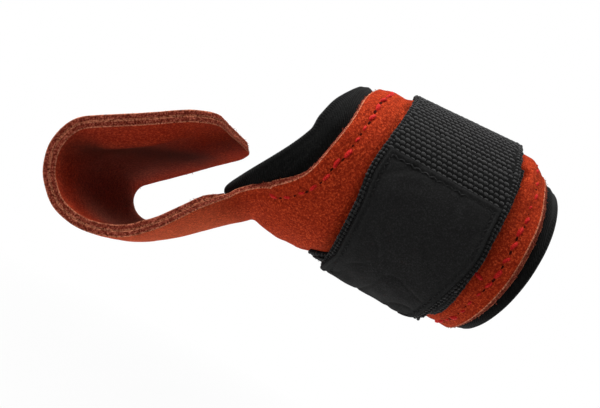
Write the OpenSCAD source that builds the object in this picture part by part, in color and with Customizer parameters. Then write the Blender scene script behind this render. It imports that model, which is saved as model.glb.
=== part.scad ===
// Suede hand grip with a padded wrist wrap, a webbing strap and a two-ply palm flap
// X runs along the forearm toward the elbow, Y toward the little finger, Z to the back of the hand
// The origin is the middle of the wrist opening, at half the strap width

/* [Wrist pad] */
// Radius of the wrist the pad closes round
wrist_radius = 28.5; // [24:0.5:36]
// Thickness of the lining against the skin
lining_thickness = 0.8; // [0.5:0.1:1.5]
// Thickness of the foam core
foam_thickness = 4; // [2:0.5:8]
// Thickness of the jersey cover
cover_thickness = 0.8; // [0.5:0.1:1.5]
// Space between the pad ends on the back of the wrist
pad_gap = 8; // [4:1:16]
// Distance from the strap middle to the forearm edge of the pad
pad_forearm_reach = 45.5; // [40:0.5:55]
// How far the pad stands out past the leather on the hand side
pad_lip = 12; // [6:0.5:16]

/* [Leather] */
// Thickness of one leather ply
leather_thickness = 2.4; // [1.6:0.1:3.2]
// Distance from the strap middle to the forearm edge of the wrist panel
panel_forearm_reach = 38; // [32:0.5:42]
// Distance from the strap middle to the bend of the hand edge
panel_hand_reach = 47.5; // [40:0.5:56]
// How far each end of the wrist panel stops short of the pad end
panel_end_inset = 3; // [0:0.5:8]

/* [Palm flap] */
// Half angle of the neck where the flap leaves the wrist panel
neck_angle = 55; // [40:1:65]
// Width of the flap at the curl
flap_width = 70; // [60:1:80]
// How far the flap dips from the wrist axis
fold_angle = 44; // [30:1:60]
// Radius of the fold at the neck
fold_radius = 6; // [5:0.5:14]
// Straight run from the fold to the curl
run_length = 40; // [30:1:55]
// Curl radius at the thumb edge
near_curl_radius = 24.5; // [16:0.5:28]
// Curl radius at the little finger edge
far_curl_radius = 14; // [10:0.5:22]
// Angle through which the thumb edge curls
near_curl_turn = 191; // [120:1:200]
// Angle through which the little finger edge curls
far_curl_turn = 180; // [120:1:200]
// Share by which the curl starts wider and ends tighter than its radius
curl_ease = 0.39; // [0:0.01:0.45]
// Straight length past the curl at the thumb edge
near_tip_length = 48; // [25:1:50]
// Straight length past the curl at the little finger edge
far_tip_length = 54; // [30:1:60]
// Corner radius of the flap end
tip_corner = 12; // [6:1:20]
// Share of the curl at which its lower fold line lies
lower_fold_share = 0.22; // [0.15:0.01:0.35]
// Share of the curl at which its upper fold line lies
upper_fold_share = 0.64; // [0.5:0.01:0.8]
// How far each edge is drawn in just past the neck
waist_depth = 3.5; // [0:0.5:5]
// Distance past the neck at which the edges are drawn in the most
waist_reach = 6; // [4:0.5:12]
// Distance past the neck at which the inner ply starts
inner_ply_start = 10; // [6:1:20]

/* [Strap] */
// Width of the webbing
strap_width = 50; // [40:1:60]
// Thickness of the webbing
webbing_thickness = 2; // [1.2:0.1:3]
// Thickness of the loop tape
loop_thickness = 1.2; // [0.8:0.1:2]
// Thickness of the hook tape
hook_thickness = 1.2; // [0.8:0.1:2]
// Thickness of the bare end patch
patch_thickness = 1; // [0.6:0.1:2]
// How far both tapes stop short of the webbing edge
tape_inset = 2; // [1:0.5:6]
// How far the patch stops short of the webbing edge
patch_inset = 2.5; // [1:0.5:8]
// Angle round the wrist at which the strap starts
strap_start_angle = 125; // [110:1:140]
// Angle round the wrist at which the tail hinges
tail_hinge_angle = 158; // [145:1:170]
// Angle round the wrist at which the tail ends
tail_end_angle = 248; // [220:1:268]
// How far the tail drifts toward the hand by its end
tail_drift = 2.5; // [0:0.5:5]
// How much narrower the tail is at its end
tail_taper = 4; // [0:0.5:10]
// Angle past the back of the wrist at which the strap begins to climb over its start
climb_start_angle = 60; // [30:1:80]
// Angle past the back of the wrist at which the strap has climbed
climb_end_angle = 120; // [100:1:124]
// Angle by which the tapes stop short of the webbing ends
tape_setback_angle = 4; // [2:1:8]
// Angle by which the loop tape runs on past the tail
loop_overrun_angle = 12; // [4:1:20]
// Angle by which the patch stops short of the tail end
patch_setback_angle = 1; // [0.5:0.5:4]

/* [Clearances] */
// Glue line between two layers of one body
bond = 0.1; // [0.05:0.05:0.3]
// Space between two bodies that move apart
part_gap = 0.3; // [0.3:0.1:1]

/* [Hidden] */
full_turn = 360;
$fn = 96;
lining_outer = wrist_radius + lining_thickness;
foam_inner = lining_outer + bond;
foam_outer = foam_inner + foam_thickness;
pad_outer = foam_outer + bond + cover_thickness;
leather_inner = pad_outer + bond;
leather_outer = leather_inner + leather_thickness;
blank_half = 2 * leather_outer + flap_width;
// Side outlines of the two wrist layers
edge_steps = 28;
edge_span = leather_outer + 4;
panel_bend_z = -11;
panel_upper_slope = 0.17;
panel_lower_slope = 1.3;
panel_softness = 6;
panel_palm_dip = 3;
pad_bend_z = -3;
pad_upper_slope = 0.3;
pad_lower_slope = 0.6;
pad_softness = 10;
pad_palm_dip = 6;
pad_bend_x = -panel_hand_reach - pad_lip;
// Flap
neck_radius = leather_inner + part_gap;
neck_x = edge_x(-leather_inner * cos(neck_angle), -panel_hand_reach, panel_bend_z,
    panel_upper_slope, panel_lower_slope, panel_softness);
fold_length = fold_radius * fold_angle * PI / 180;
flap_start = part_gap / (fold_length + run_length);
ply_start = inner_ply_start / (fold_length + run_length);
neck_half_width = neck_radius * neck_angle * PI / 180;
trough_end = 2.1;
trough_power = 2.3;
across_steps = 18;
curl_gap = part_gap / (far_curl_radius * (1 - curl_ease) - leather_thickness - bond)
    * 180 / PI / far_curl_turn;
lower_fold = 1 + lower_fold_share;
upper_fold = 1 + upper_fold_share;
// Strap
strap_step_angle = 5;
strap_inner = leather_outer + bond;
tape_lift = webbing_thickness + bond;
tail_lift = tape_lift + loop_thickness + part_gap + hook_thickness + bond;
hinge_gap_angle = part_gap / (strap_inner + tail_lift) * 90 / PI;
tail_steps = 8;
tail_outer = strap_inner + tail_lift + webbing_thickness + bond + patch_thickness;
tail_top_z = tail_outer * sin(tail_hinge_angle);
tail_low_z = tail_outer * sin(tail_end_angle);

// Hand edge of a wrist layer: two straight runs joined by a soft bend
function edge_x(z, bend_x, bend_z, upper, lower, softness) =
    let (d = z - bend_z)
    bend_x + (upper + lower) / 2 * d - (lower - upper) / 2 * sqrt(d * d + softness * softness);

// Forearm edge of a wrist layer, drawn back on the palm side
function forearm_x(z, reach, dip) =
    let (palm = max(0, -z) / edge_span)
    reach - dip * palm * palm;

function edge_z(i) = edge_span * (2 * i / edge_steps - 1);

// Puts a drawing of the YZ plane along X
module along_x(from, to) {
    translate([from, 0, 0])
        rotate([90, 0, 90])
            linear_extrude(height = to - from)
                children();
}

// Puts a drawing of the XZ plane across the whole wrist
module across_y() {
    rotate([90, 0, 0])
        linear_extrude(height = 2 * blank_half, center = true)
            children();
}

// Ring round the wrist, open on the back
module open_ring(inner, outer, half_gap) {
    difference() {
        circle(r = outer);
        circle(r = inner);
        translate([-half_gap, 0])
            square([2 * half_gap, 2 * outer]);
    }
}

// One pad layer, cut to the pad outline and drawn in by an even margin
module pad_layer(inner, outer, margin) {
    intersection() {
        along_x(-blank_half, blank_half)
            open_ring(inner, outer, pad_gap / 2 + margin);
        across_y()
            polygon(concat(
                [for (i = [0 : edge_steps]) let (z = edge_z(i))
                    [edge_x(z, pad_bend_x, pad_bend_z, pad_upper_slope, pad_lower_slope,
                        pad_softness) + margin, z]],
                [for (i = [edge_steps : -1 : 0]) let (z = edge_z(i))
                    [forearm_x(z, pad_forearm_reach, pad_palm_dip) - margin, z]]));
    }
}

module pad_lining() {
    color("#1d1d1c")
        pad_layer(wrist_radius, lining_outer, 0);
}

module pad_foam() {
    color("#3a3a38")
        pad_layer(foam_inner, foam_outer, cover_thickness + bond);
}

// The cover closes over the outer face and all four edges of the foam
module pad_cover() {
    color("#161615")
        difference() {
            pad_layer(foam_inner, pad_outer, 0);
            pad_layer(lining_outer, foam_outer + bond, cover_thickness);
        }
}

// Leather round the wrist, cut square where the flap folds away
module wrist_panel() {
    color("#9a3318")
        intersection() {
            along_x(-blank_half, blank_half)
                open_ring(leather_inner, leather_outer, pad_gap / 2 + panel_end_inset);
            across_y()
                polygon(concat(
                    [for (i = [0 : edge_steps]) let (z = edge_z(i))
                        [max(neck_x, edge_x(z, -panel_hand_reach, panel_bend_z,
                            panel_upper_slope, panel_lower_slope, panel_softness)), z]],
                    [for (i = [edge_steps : -1 : 0]) let (z = edge_z(i))
                        [forearm_x(z, panel_forearm_reach, panel_palm_dip), z]]));
        }
}

// Strap path: on the leather first, then climbing over its own start
function climb(angle) =
    let (share = (angle - full_turn - climb_start_angle) / (climb_end_angle - climb_start_angle),
        u = min(1, max(0, share)))
    u * u * (3 - 2 * u) * tail_lift;

function strap_point(angle, lift) =
    (strap_inner + lift) * [cos(angle), sin(angle)];

// Band that follows the strap path between two angles
module strap_band(from, to, lift, thickness, width) {
    steps = ceil((to - from) / strap_step_angle);
    angles = [for (i = [0 : steps]) from + (to - from) * i / steps];
    along_x(-width / 2, width / 2)
        polygon(concat(
            [for (a = angles) strap_point(a, climb(a) + lift)],
            [for (i = [steps : -1 : 0]) strap_point(angles[i], climb(angles[i]) + lift + thickness)]));
}

module strap_base() {
    color("#3c3c3b")
        strap_band(strap_start_angle, tail_hinge_angle + full_turn - hinge_gap_angle, 0,
            webbing_thickness, strap_width);
}

module loop_tape() {
    color("#2a2a2a")
        strap_band(strap_start_angle + tape_setback_angle, tail_end_angle + loop_overrun_angle, tape_lift,
            loop_thickness, strap_width - 2 * tape_inset);
}

// Side outline of the tail, which drifts toward the hand and narrows toward its end
module tail_outline(inset) {
    half = strap_width / 2 - inset;
    across_y()
        polygon(concat(
            [[-half, 2 * tail_outer]],
            [for (i = [0 : tail_steps]) let (u = i / tail_steps)
                [-half - tail_drift * u, mix(tail_top_z, tail_low_z, u)]],
            [for (i = [tail_steps : -1 : 0]) let (u = i / tail_steps)
                [half - tail_drift * u - tail_taper * u * u, mix(tail_top_z, tail_low_z, u)]],
            [[half, 2 * tail_outer]]));
}

// Band of the tail, cut to the tail outline
module tail_band(from, to, lift, thickness, inset) {
    intersection() {
        strap_band(from + full_turn, to + full_turn, lift, thickness, strap_width + 2 * tail_drift);
        tail_outline(inset);
    }
}

module tail_webbing() {
    color("#454544")
        tail_band(tail_hinge_angle + hinge_gap_angle, tail_end_angle, 0, webbing_thickness, 0);
}

module hook_tape() {
    color("#232323")
        tail_band(tail_hinge_angle + tape_setback_angle, tail_end_angle - tape_setback_angle,
            -hook_thickness - bond, hook_thickness, tape_inset);
}

module end_patch() {
    color("#1f1f1f")
        tail_band(tail_hinge_angle + tape_setback_angle, tail_end_angle - patch_setback_angle,
            webbing_thickness + bond, patch_thickness, patch_inset);
}

// Path of the flap: station 0 to 1 fold and run, 1 to 2 curl, 2 to 3 end
// Side 0 is the thumb edge and side 1 the little finger edge
function mix(a, b, t) = a + (b - a) * t;

function curl_radius(side) = mix(near_curl_radius, far_curl_radius, side);

function heading(station, side) =
    let (s = min(1, station) * (fold_length + run_length),
        turn = mix(near_curl_turn, far_curl_turn, side))
    180 + fold_angle * min(1, s / fold_length) - turn * min(1, max(0, station - 1));

function forward(station, side) =
    let (h = heading(station, side))
    [cos(h), sin(h)];

function inward(station, side) =
    let (h = heading(station, side))
    [sin(h), -cos(h)];

function fold_end() =
    [neck_x - fold_radius * sin(fold_angle), -neck_radius - fold_radius * (1 - cos(fold_angle))];

function run_point(station) =
    let (s = station * (fold_length + run_length))
    s < fold_length
        ? [neck_x - fold_radius * sin(fold_angle * s / fold_length),
            -neck_radius - fold_radius * (1 - cos(fold_angle * s / fold_length))]
        : fold_end() + (s - fold_length) * forward(1, 0);

// Arm from the middle of the curl to the sheet; its length eases down along the turn
function curl_arm(station, side) =
    let (r = curl_radius(side),
        turn = mix(near_curl_turn, far_curl_turn, side) * PI / 180,
        eased = r * (1 + curl_ease * (3 - 2 * station)))
    -eased * inward(station, side) - 2 * curl_ease * r / turn * forward(station, side);

function path_point(station, side) =
    station <= 1 ? run_point(station)
        : run_point(1) + curl_arm(min(2, station), side) - curl_arm(1, side)
            + max(0, station - 2) * tip_reach(side) * forward(2, side);

// Length past the curl, shortened where the end corners are rounded
function tip_reach(side) =
    let (from_edge = flap_width / 2 * (1 - abs(2 * side - 1)),
        e = max(0, 1 - from_edge / tip_corner))
    mix(near_tip_length, far_tip_length, side) - tip_corner * (1 - sqrt(1 - e * e));

// The neck keeps the round of the wrist and flattens out toward the curl
function bow(station) = neck_angle * pow(max(0, 1 - station / trough_end), trough_power);

// The edges leave the neck along the hand edge of the panel, drawn in to a waist
function half_width(station) =
    let (s = station * (fold_length + run_length) / waist_reach)
    mix(neck_half_width, flap_width / 2, min(1, station)) - waist_depth * s * exp(1 - s);

function flap_point(station, side, lift) =
    let (v = 2 * side - 1,
        b = max(bow(station), 0.01),
        bow_radius = half_width(station) / (b * PI / 180),
        rise = bow_radius * (1 - cos(v * b)) - lift * cos(v * b),
        p = path_point(station, side) + rise * inward(station, side))
    [p[0], bow_radius * sin(v * b) + lift * sin(v * b), p[1]];

// Closed leather solid between two stations, from the low to the high lift
module ply(stations, low, high) {
    sides = [for (j = [0 : across_steps]) (1 - cos(180 * j / across_steps)) / 2];
    n = len(sides);
    m = len(stations);
    skin = m * n;
    points = concat(
        [for (s = stations) for (t = sides) flap_point(s, t, low)],
        [for (s = stations) for (t = sides) flap_point(s, t, high)]);
    low_faces = [for (i = [0 : m - 2]) for (j = [0 : n - 2])
        each quad(i * n + j, i * n + j + 1, (i + 1) * n + j + 1, (i + 1) * n + j)];
    high_faces = [for (f = low_faces) [f[2] + skin, f[1] + skin, f[0] + skin]];
    rim = concat(
        [for (j = [0 : n - 1]) j],
        [for (i = [1 : m - 1]) i * n + n - 1],
        [for (j = [n - 2 : -1 : 0]) (m - 1) * n + j],
        [for (i = [m - 2 : -1 : 1]) i * n]);
    rim_faces = [for (k = [0 : len(rim) - 1])
        let (a = rim[k], b = rim[(k + 1) % len(rim)])
        each quad(b, a, a + skin, b + skin)];
    polyhedron(points, concat(low_faces, high_faces, rim_faces));
}

function quad(a, b, c, d) = [[a, b, c], [a, c, d]];

function spread(from, to, steps) = [for (i = [0 : steps]) mix(from, to, i / steps)];

// Stations of the three flap sections
fold_share = fold_length / (fold_length + run_length);
base_stations = concat(spread(flap_start, fold_share, 4), spread(mix(fold_share, 1, 1 / 5), 1, 4),
    spread(mix(1, lower_fold, 1 / 3), lower_fold, 2));
inner_base_stations = concat(spread(ply_start, 1, 5), spread(mix(1, lower_fold, 1 / 3), lower_fold, 2));
curl_stations = spread(lower_fold + curl_gap, upper_fold, 8);
tip_stations = concat(spread(upper_fold + curl_gap, 2, 5), spread(2.25, 3, 3));

outer_low = bond / 2;
outer_high = outer_low + leather_thickness;

module base_outer_ply() {
    color("#9a3318")
        ply(base_stations, outer_low, outer_high);
}

module base_inner_ply() {
    color("#7c2412")
        ply(inner_base_stations, -outer_high, -outer_low);
}

module curl_outer_ply() {
    color("#a63a1c")
        ply(curl_stations, outer_low, outer_high);
}

module curl_inner_ply() {
    color("#862814")
        ply(curl_stations, -outer_high, -outer_low);
}

module tip_outer_ply() {
    color("#b0401f")
        ply(tip_stations, outer_low, outer_high);
}

module tip_inner_ply() {
    color("#8f2d17")
        ply(tip_stations, -outer_high, -outer_low);
}

pad_lining();
pad_foam();
pad_cover();
wrist_panel();
strap_base();
loop_tape();
tail_webbing();
hook_tape();
end_patch();
base_outer_ply();
base_inner_ply();
curl_outer_ply();
curl_inner_ply();
tip_outer_ply();
tip_inner_ply();
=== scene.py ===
"""Dresses a suede hand grip: a padded wrist wrap, a webbing strap and a two-ply palm flap.

Lengths are in millimetres until a mesh is written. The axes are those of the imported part. X runs along the
cuff from its front, where the flap is, to its rear, Y points to its far side and Z to its back, where the
pad ends meet. Angles round the cuff are in degrees from Y toward Z: 90 is the back, 180 the near side and
270 the underside, where the flap leaves it.
"""
import logging
import math
from dataclasses import dataclass, field, replace
from enum import Enum
from functools import cache

import bpy
import numpy as np
from bpy.types import ID, Material, Node, NodeSocket, NodeTree, Object, World
from mathutils import Matrix, Vector


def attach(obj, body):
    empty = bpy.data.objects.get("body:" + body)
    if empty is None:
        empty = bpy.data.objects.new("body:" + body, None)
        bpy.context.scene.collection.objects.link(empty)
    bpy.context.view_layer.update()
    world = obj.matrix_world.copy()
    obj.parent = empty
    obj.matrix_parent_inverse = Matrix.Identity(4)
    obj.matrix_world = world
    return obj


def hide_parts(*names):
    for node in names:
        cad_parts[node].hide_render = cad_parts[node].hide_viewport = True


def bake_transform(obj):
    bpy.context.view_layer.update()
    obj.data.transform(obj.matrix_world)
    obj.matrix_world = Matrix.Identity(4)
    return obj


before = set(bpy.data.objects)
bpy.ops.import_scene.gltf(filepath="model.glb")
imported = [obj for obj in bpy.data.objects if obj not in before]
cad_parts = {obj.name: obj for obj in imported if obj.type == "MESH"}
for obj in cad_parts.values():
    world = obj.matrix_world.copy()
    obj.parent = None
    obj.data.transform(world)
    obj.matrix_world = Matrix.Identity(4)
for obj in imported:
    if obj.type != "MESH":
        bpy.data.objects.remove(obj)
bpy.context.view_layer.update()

MM = 0.001
BACK = 90.0
UNDER = 270.0
FULL_TURN = 360.0
CM2_PER_M2 = 1e4
LOG = logging.getLogger("hand_grip")

Array = np.ndarray
Real = float | Array
Triple = tuple[float, float, float]
Colour = Triple


def mix(a: Real, b: Real, t: Real) -> Real:
    """Value at share t of the way from a to b."""
    return a + (b - a) * t


def smooth(t: Real) -> Real:
    """Soft step from 0 to 1 as t goes from 0 to 1."""
    t = np.clip(t, 0.0, 1.0)
    return t * t * (3.0 - 2.0 * t)


def rise(value: Real, start: Real, length: float) -> Real:
    """Soft step from 0 at the start to 1 one length past it."""
    return smooth((value - start) / length)


def fall(value: Real, start: Real, length: float) -> Real:
    """Soft step from 1 at the start to 0 one length past it."""
    return 1.0 - rise(value, start, length)


def hump(value: Real, middle: float, reach: Real) -> Real:
    """Soft hump that is 1 at the middle and dies away over the reach."""
    return np.exp(-((value - middle) / reach) ** 2)


def from_back(angle: Array) -> Array:
    """How many degrees lie between places and the back of the cuff."""
    return np.abs((angle + BACK) % FULL_TURN - FULL_TURN / 2.0)


def unit(vectors: Array) -> Array:
    """The same directions at length 1."""
    return vectors / np.maximum(np.linalg.norm(vectors, axis=-1, keepdims=True), 1e-9)


def coords(*parts: Real) -> Array:
    """Coordinates side by side on the last axis."""
    return np.stack(np.broadcast_arrays(*parts), axis=-1)


def ring(x: Real, angle: Real, radius: Real) -> Array:
    """Points at places along the cuff, angles round it in degrees and distances from its axis."""
    turn = np.radians(angle)
    return coords(x, radius * np.cos(turn), radius * np.sin(turn))


def ripple(points: Array, wavelength: float, seed: int, waves: int = 14) -> Array:
    """Smooth uneven height field made of crossing sine waves.

    Args:
        points: Places at which the field is read.
        wavelength: Usual distance between two crests.
        seed: Seed of the directions and phases.
        waves: How many sine waves are added up.

    Returns:
        One height for each point, mostly between -1 and 1.
    """
    rng = np.random.default_rng(seed)
    ways = unit(rng.normal(size=(waves, 3))) * (2.0 * math.pi / wavelength)
    ways *= rng.uniform(0.6, 1.5, size=(waves, 1))
    phases = rng.uniform(0.0, 2.0 * math.pi, size=waves)
    return np.sin(points @ ways.T + phases).sum(axis=-1) / math.sqrt(2.0 * waves)


def grid_quads(rows: int, columns: int) -> Array:
    """Four point numbers for each face of a grid of points that is stored row by row."""
    first = (np.arange(rows - 1)[:, None] * columns + np.arange(columns - 1)).ravel()
    return coords(first, first + columns, first + columns + 1, first + 1)


def steps_between(first: float, last: float, pitch: float) -> Array:
    """Evenly spaced values from first to last, about one pitch apart."""
    return np.linspace(first, last, max(2, round(abs(last - first) / pitch) + 1))


def resample(line: Array, pitch: float) -> Array:
    """Points along a line at an even distance.

    Args:
        line: Points of the line, in order.
        pitch: Distance between two of the new points.

    Returns:
        The new points.
    """
    reach = np.concatenate([[0.0], np.cumsum(np.linalg.norm(np.diff(line, axis=0), axis=1))])
    places = np.arange(pitch / 2.0, reach[-1], pitch)
    return np.stack([np.interp(places, reach, line[:, k]) for k in range(line.shape[1])], axis=-1)


def directions(line: Array) -> Array:
    """Unit direction of a line at each of its points."""
    return unit(np.gradient(line, axis=0))


def placed(name: str, data: ID) -> Object:
    """Makes an object of its data and links it to the scene.

    Args:
        name: Name of the new object.
        data: Its mesh, lamp or camera.

    Returns:
        The new object.
    """
    made = bpy.data.objects.new(name, data)
    bpy.context.scene.collection.objects.link(made)
    return made


def write_mesh(name: str, points: Array, faces: Array, materials: list[Material],
               slots: Array | None = None, uv: Array | None = None,
               values: dict[str, Array] | None = None) -> Object:
    """Writes points and faces as a smooth mesh object at the origin.

    Args:
        name: Name of the new object.
        points: Points in millimetres.
        faces: Point numbers of each face.
        materials: Materials in slot order.
        slots: Material slot of each face, or None for the first slot.
        uv: Flat place of each point in millimetres, or None.
        values: Named numbers for each point that the materials read, or None.

    Returns:
        The new object, linked to the scene.
    """
    mesh = bpy.data.meshes.new(name)
    mesh.from_pydata((points * MM).tolist(), [], faces.tolist())
    for material in materials:
        mesh.materials.append(material)
    if slots is not None:
        mesh.polygons.foreach_set("material_index", slots.astype(np.int32))
    mesh.polygons.foreach_set("use_smooth", np.ones(len(mesh.polygons), dtype=bool))
    if uv is not None:
        corners = np.zeros(len(mesh.loops), dtype=np.int32)
        mesh.loops.foreach_get("vertex_index", corners)
        layer = mesh.uv_layers.new(name="flat")
        layer.data.foreach_set("uv", (uv[corners] * MM).astype(np.float32).ravel())
    for key, numbers in (values or {}).items():
        mesh.attributes.new(key, "FLOAT", "POINT").data.foreach_set("value", numbers.astype(np.float32))
    mesh.update()
    return placed(name, mesh)


@dataclass(frozen=True)
class Rim:
    """How the edge of a sheet is finished.

    Attributes:
        depth: How far the rim stands out past the last row of the skins.
        power: Roundness of the rim: 2 is a full round and more is squarer.
        steps: Faces across the rim.
        rough: How far single points of the rim stray.
        seed: Seed of the stray points.
    """
    depth: float
    power: float = 2.0
    steps: int = 6
    rough: float = 0.0
    seed: int = 1


@dataclass
class Sheet:
    """A soft sheet with two skins and a rim, kept as arrays until it becomes a mesh.

    Attributes:
        low: Points of the inner skin.
        high: Points of the outer skin, in the same order.
        quads: Faces of the outer skin.
        uv: Flat place of each point.
        rim: Finish of the edge.
        joined: Which points lie on an edge that meets the next stretch of the same sheet.
        marks: Named numbers from 0 to 1 for each point, such as its rub with painted light and its painted
            shade.
    """
    low: Array
    high: Array
    quads: Array
    uv: Array
    rim: Rim
    joined: Array = field(default_factory=lambda: np.zeros(0, dtype=bool))
    marks: dict[str, Array] = field(default_factory=dict)

    def border(self) -> Array:
        """Finds the edge of the sheet.

        Returns:
            Point numbers round the edge, in order.
        """
        count = len(self.high)
        starts = self.quads.ravel()
        ends = np.roll(self.quads, -1, axis=1).ravel()
        lone = ~np.isin(starts * count + ends, ends * count + starts)
        following = dict(zip(starts[lone].tolist(), ends[lone].tolist()))
        loop = [int(starts[lone][0])]
        while following[loop[-1]] != loop[0]:
            loop.append(following[loop[-1]])
        return np.array(loop)

    def outward(self, loop: Array) -> Array:
        """Directions that leave the sheet at its border points.

        Args:
            loop: Point numbers round the edge.

        Returns:
            Unit directions on a real edge and zero along an edge that is joined.
        """
        middle = (self.low[loop] + self.high[loop]) / 2.0
        along = np.roll(middle, -1, axis=0) - np.roll(middle, 1, axis=0)
        out = unit(np.cross(along, self.high[loop] - self.low[loop]))
        if not len(self.joined):
            return out
        inside = self.joined[loop]
        before, after = np.roll(inside, 1), np.roll(inside, -1)
        side = np.where((inside & ~before)[:, None], np.roll(out, 1, axis=0), out)
        side = np.where((inside & ~after)[:, None], np.roll(out, -1, axis=0), side)
        side[inside & before & after] = 0.0
        return side

    def area(self) -> float:
        """Area of the middle of the sheet, in square metres."""
        a, b, c, d = ((self.low + self.high)[self.quads[:, k]] / 2.0 for k in range(4))
        return float(np.linalg.norm(np.cross(c - a, d - b), axis=1).sum() / 2.0) * MM * MM

    def build(self, name: str, skin: Material, edge: Material) -> Object:
        """Closes the sheet with its rim and writes the mesh.

        Args:
            name: Name of the new object.
            skin: Material of both faces.
            edge: Material of the rim.

        Returns:
            The new object.
        """
        count, loop, rim = len(self.high), self.border(), self.rim
        out = self.outward(loop)
        rng = np.random.default_rng(rim.seed)
        rings, points, places = [loop], [self.low, self.high], [np.ones(2 * count)]
        for step in range(1, rim.steps):
            share = (1.0 - math.cos(math.pi * step / rim.steps)) / 2.0
            reach = rim.depth * (1.0 - abs(2.0 * share - 1.0) ** rim.power) ** (1.0 / rim.power)
            reach = reach + rim.rough * rng.normal(size=(len(loop), 1))
            points.append(mix(self.low[loop], self.high[loop], share) + out * reach)
            places.append(np.full(len(loop), abs(2.0 * share - 1.0)))
            rings.append(2 * count + (step - 1) * len(loop) + np.arange(len(loop)))
        rings.append(loop + count)
        sides = [np.stack([a, np.roll(a, -1), np.roll(b, -1), b], axis=-1)
                 for a, b in zip(rings[:-1], rings[1:])]
        faces = np.concatenate([self.quads + count, self.quads[:, ::-1], *sides])
        slots = np.ones(len(faces))
        slots[:2 * len(self.quads)] = 0
        uv = np.concatenate([self.uv, self.uv, *[self.uv[loop]] * (rim.steps - 1)])
        values = {"rim": np.concatenate(places)}
        for key, mark in self.marks.items():
            values[key] = np.concatenate([mark, mark, *[mark[loop]] * (rim.steps - 1)])
        return write_mesh(name, np.concatenate(points), faces, [skin, edge], slots, uv, values)


class Canvas:
    """A node tree that is filled node by node."""

    def __init__(self, tree: NodeTree) -> None:
        """Keeps the tree that new nodes go to."""
        self.tree = tree

    @classmethod
    def cleared(cls, owner: Material | World) -> "Canvas":
        """Empties the node tree of a material or of the world.

        Args:
            owner: What the tree belongs to.

        Returns:
            The canvas of the tree.
        """
        owner.use_nodes = True
        owner.node_tree.nodes.clear()
        return cls(owner.node_tree)

    def node(self, kind: str, inputs: dict | None = None, **settings: object) -> Node:
        """Adds one node.

        Args:
            kind: Type name of the node.
            inputs: A constant or an output socket for inputs given by name or number.
            settings: Properties of the node.

        Returns:
            The new node.
        """
        made = self.tree.nodes.new(kind)
        for key, value in settings.items():
            setattr(made, key, value)
        for key, value in (inputs or {}).items():
            if isinstance(value, NodeSocket):
                self.tree.links.new(value, made.inputs[key])
            else:
                made.inputs[key].default_value = value
        return made

    def math(self, operation: str, a: object, b: object = 0.0) -> NodeSocket:
        """Adds a Math node and gives its result."""
        return self.node("ShaderNodeMath", {0: a, 1: b}, operation=operation).outputs[0]

    def blend(self, share: object, a: object, b: object) -> NodeSocket:
        """Adds a colour Mix node and gives its result."""
        return self.node("ShaderNodeMix", {0: share, 6: a, 7: b}, data_type="RGBA").outputs[2]

    def remap(self, value: object, low: float, high: float, to_low: float = 0.0,
              to_high: float = 1.0) -> NodeSocket:
        """Adds a Map Range node and gives its result."""
        return self.node("ShaderNodeMapRange", {0: value, 1: low, 2: high, 3: to_low, 4: to_high}).outputs[0]


class Motif(Enum):
    """Small shapes that are repeated over a surface."""
    ARCH = "arch"
    BEAD = "bead"
    HOOK = "hook"


@dataclass
class Seeds:
    """Places at which a motif is repeated.

    Attributes:
        points: Where each copy sits.
        along: Direction of each copy's length.
        up: Direction of each copy's height.
        size: Scale of each copy.
    """
    points: Array
    along: Array
    up: Array
    size: Array

    VECTORS = ("along", "up", "size")

    @staticmethod
    def joined(parts: list["Seeds"]) -> "Seeds":
        """One set of seeds from several."""
        keys = ("points", *Seeds.VECTORS)
        return Seeds(*(np.concatenate([getattr(part, key) for part in parts]) for key in keys))


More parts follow.
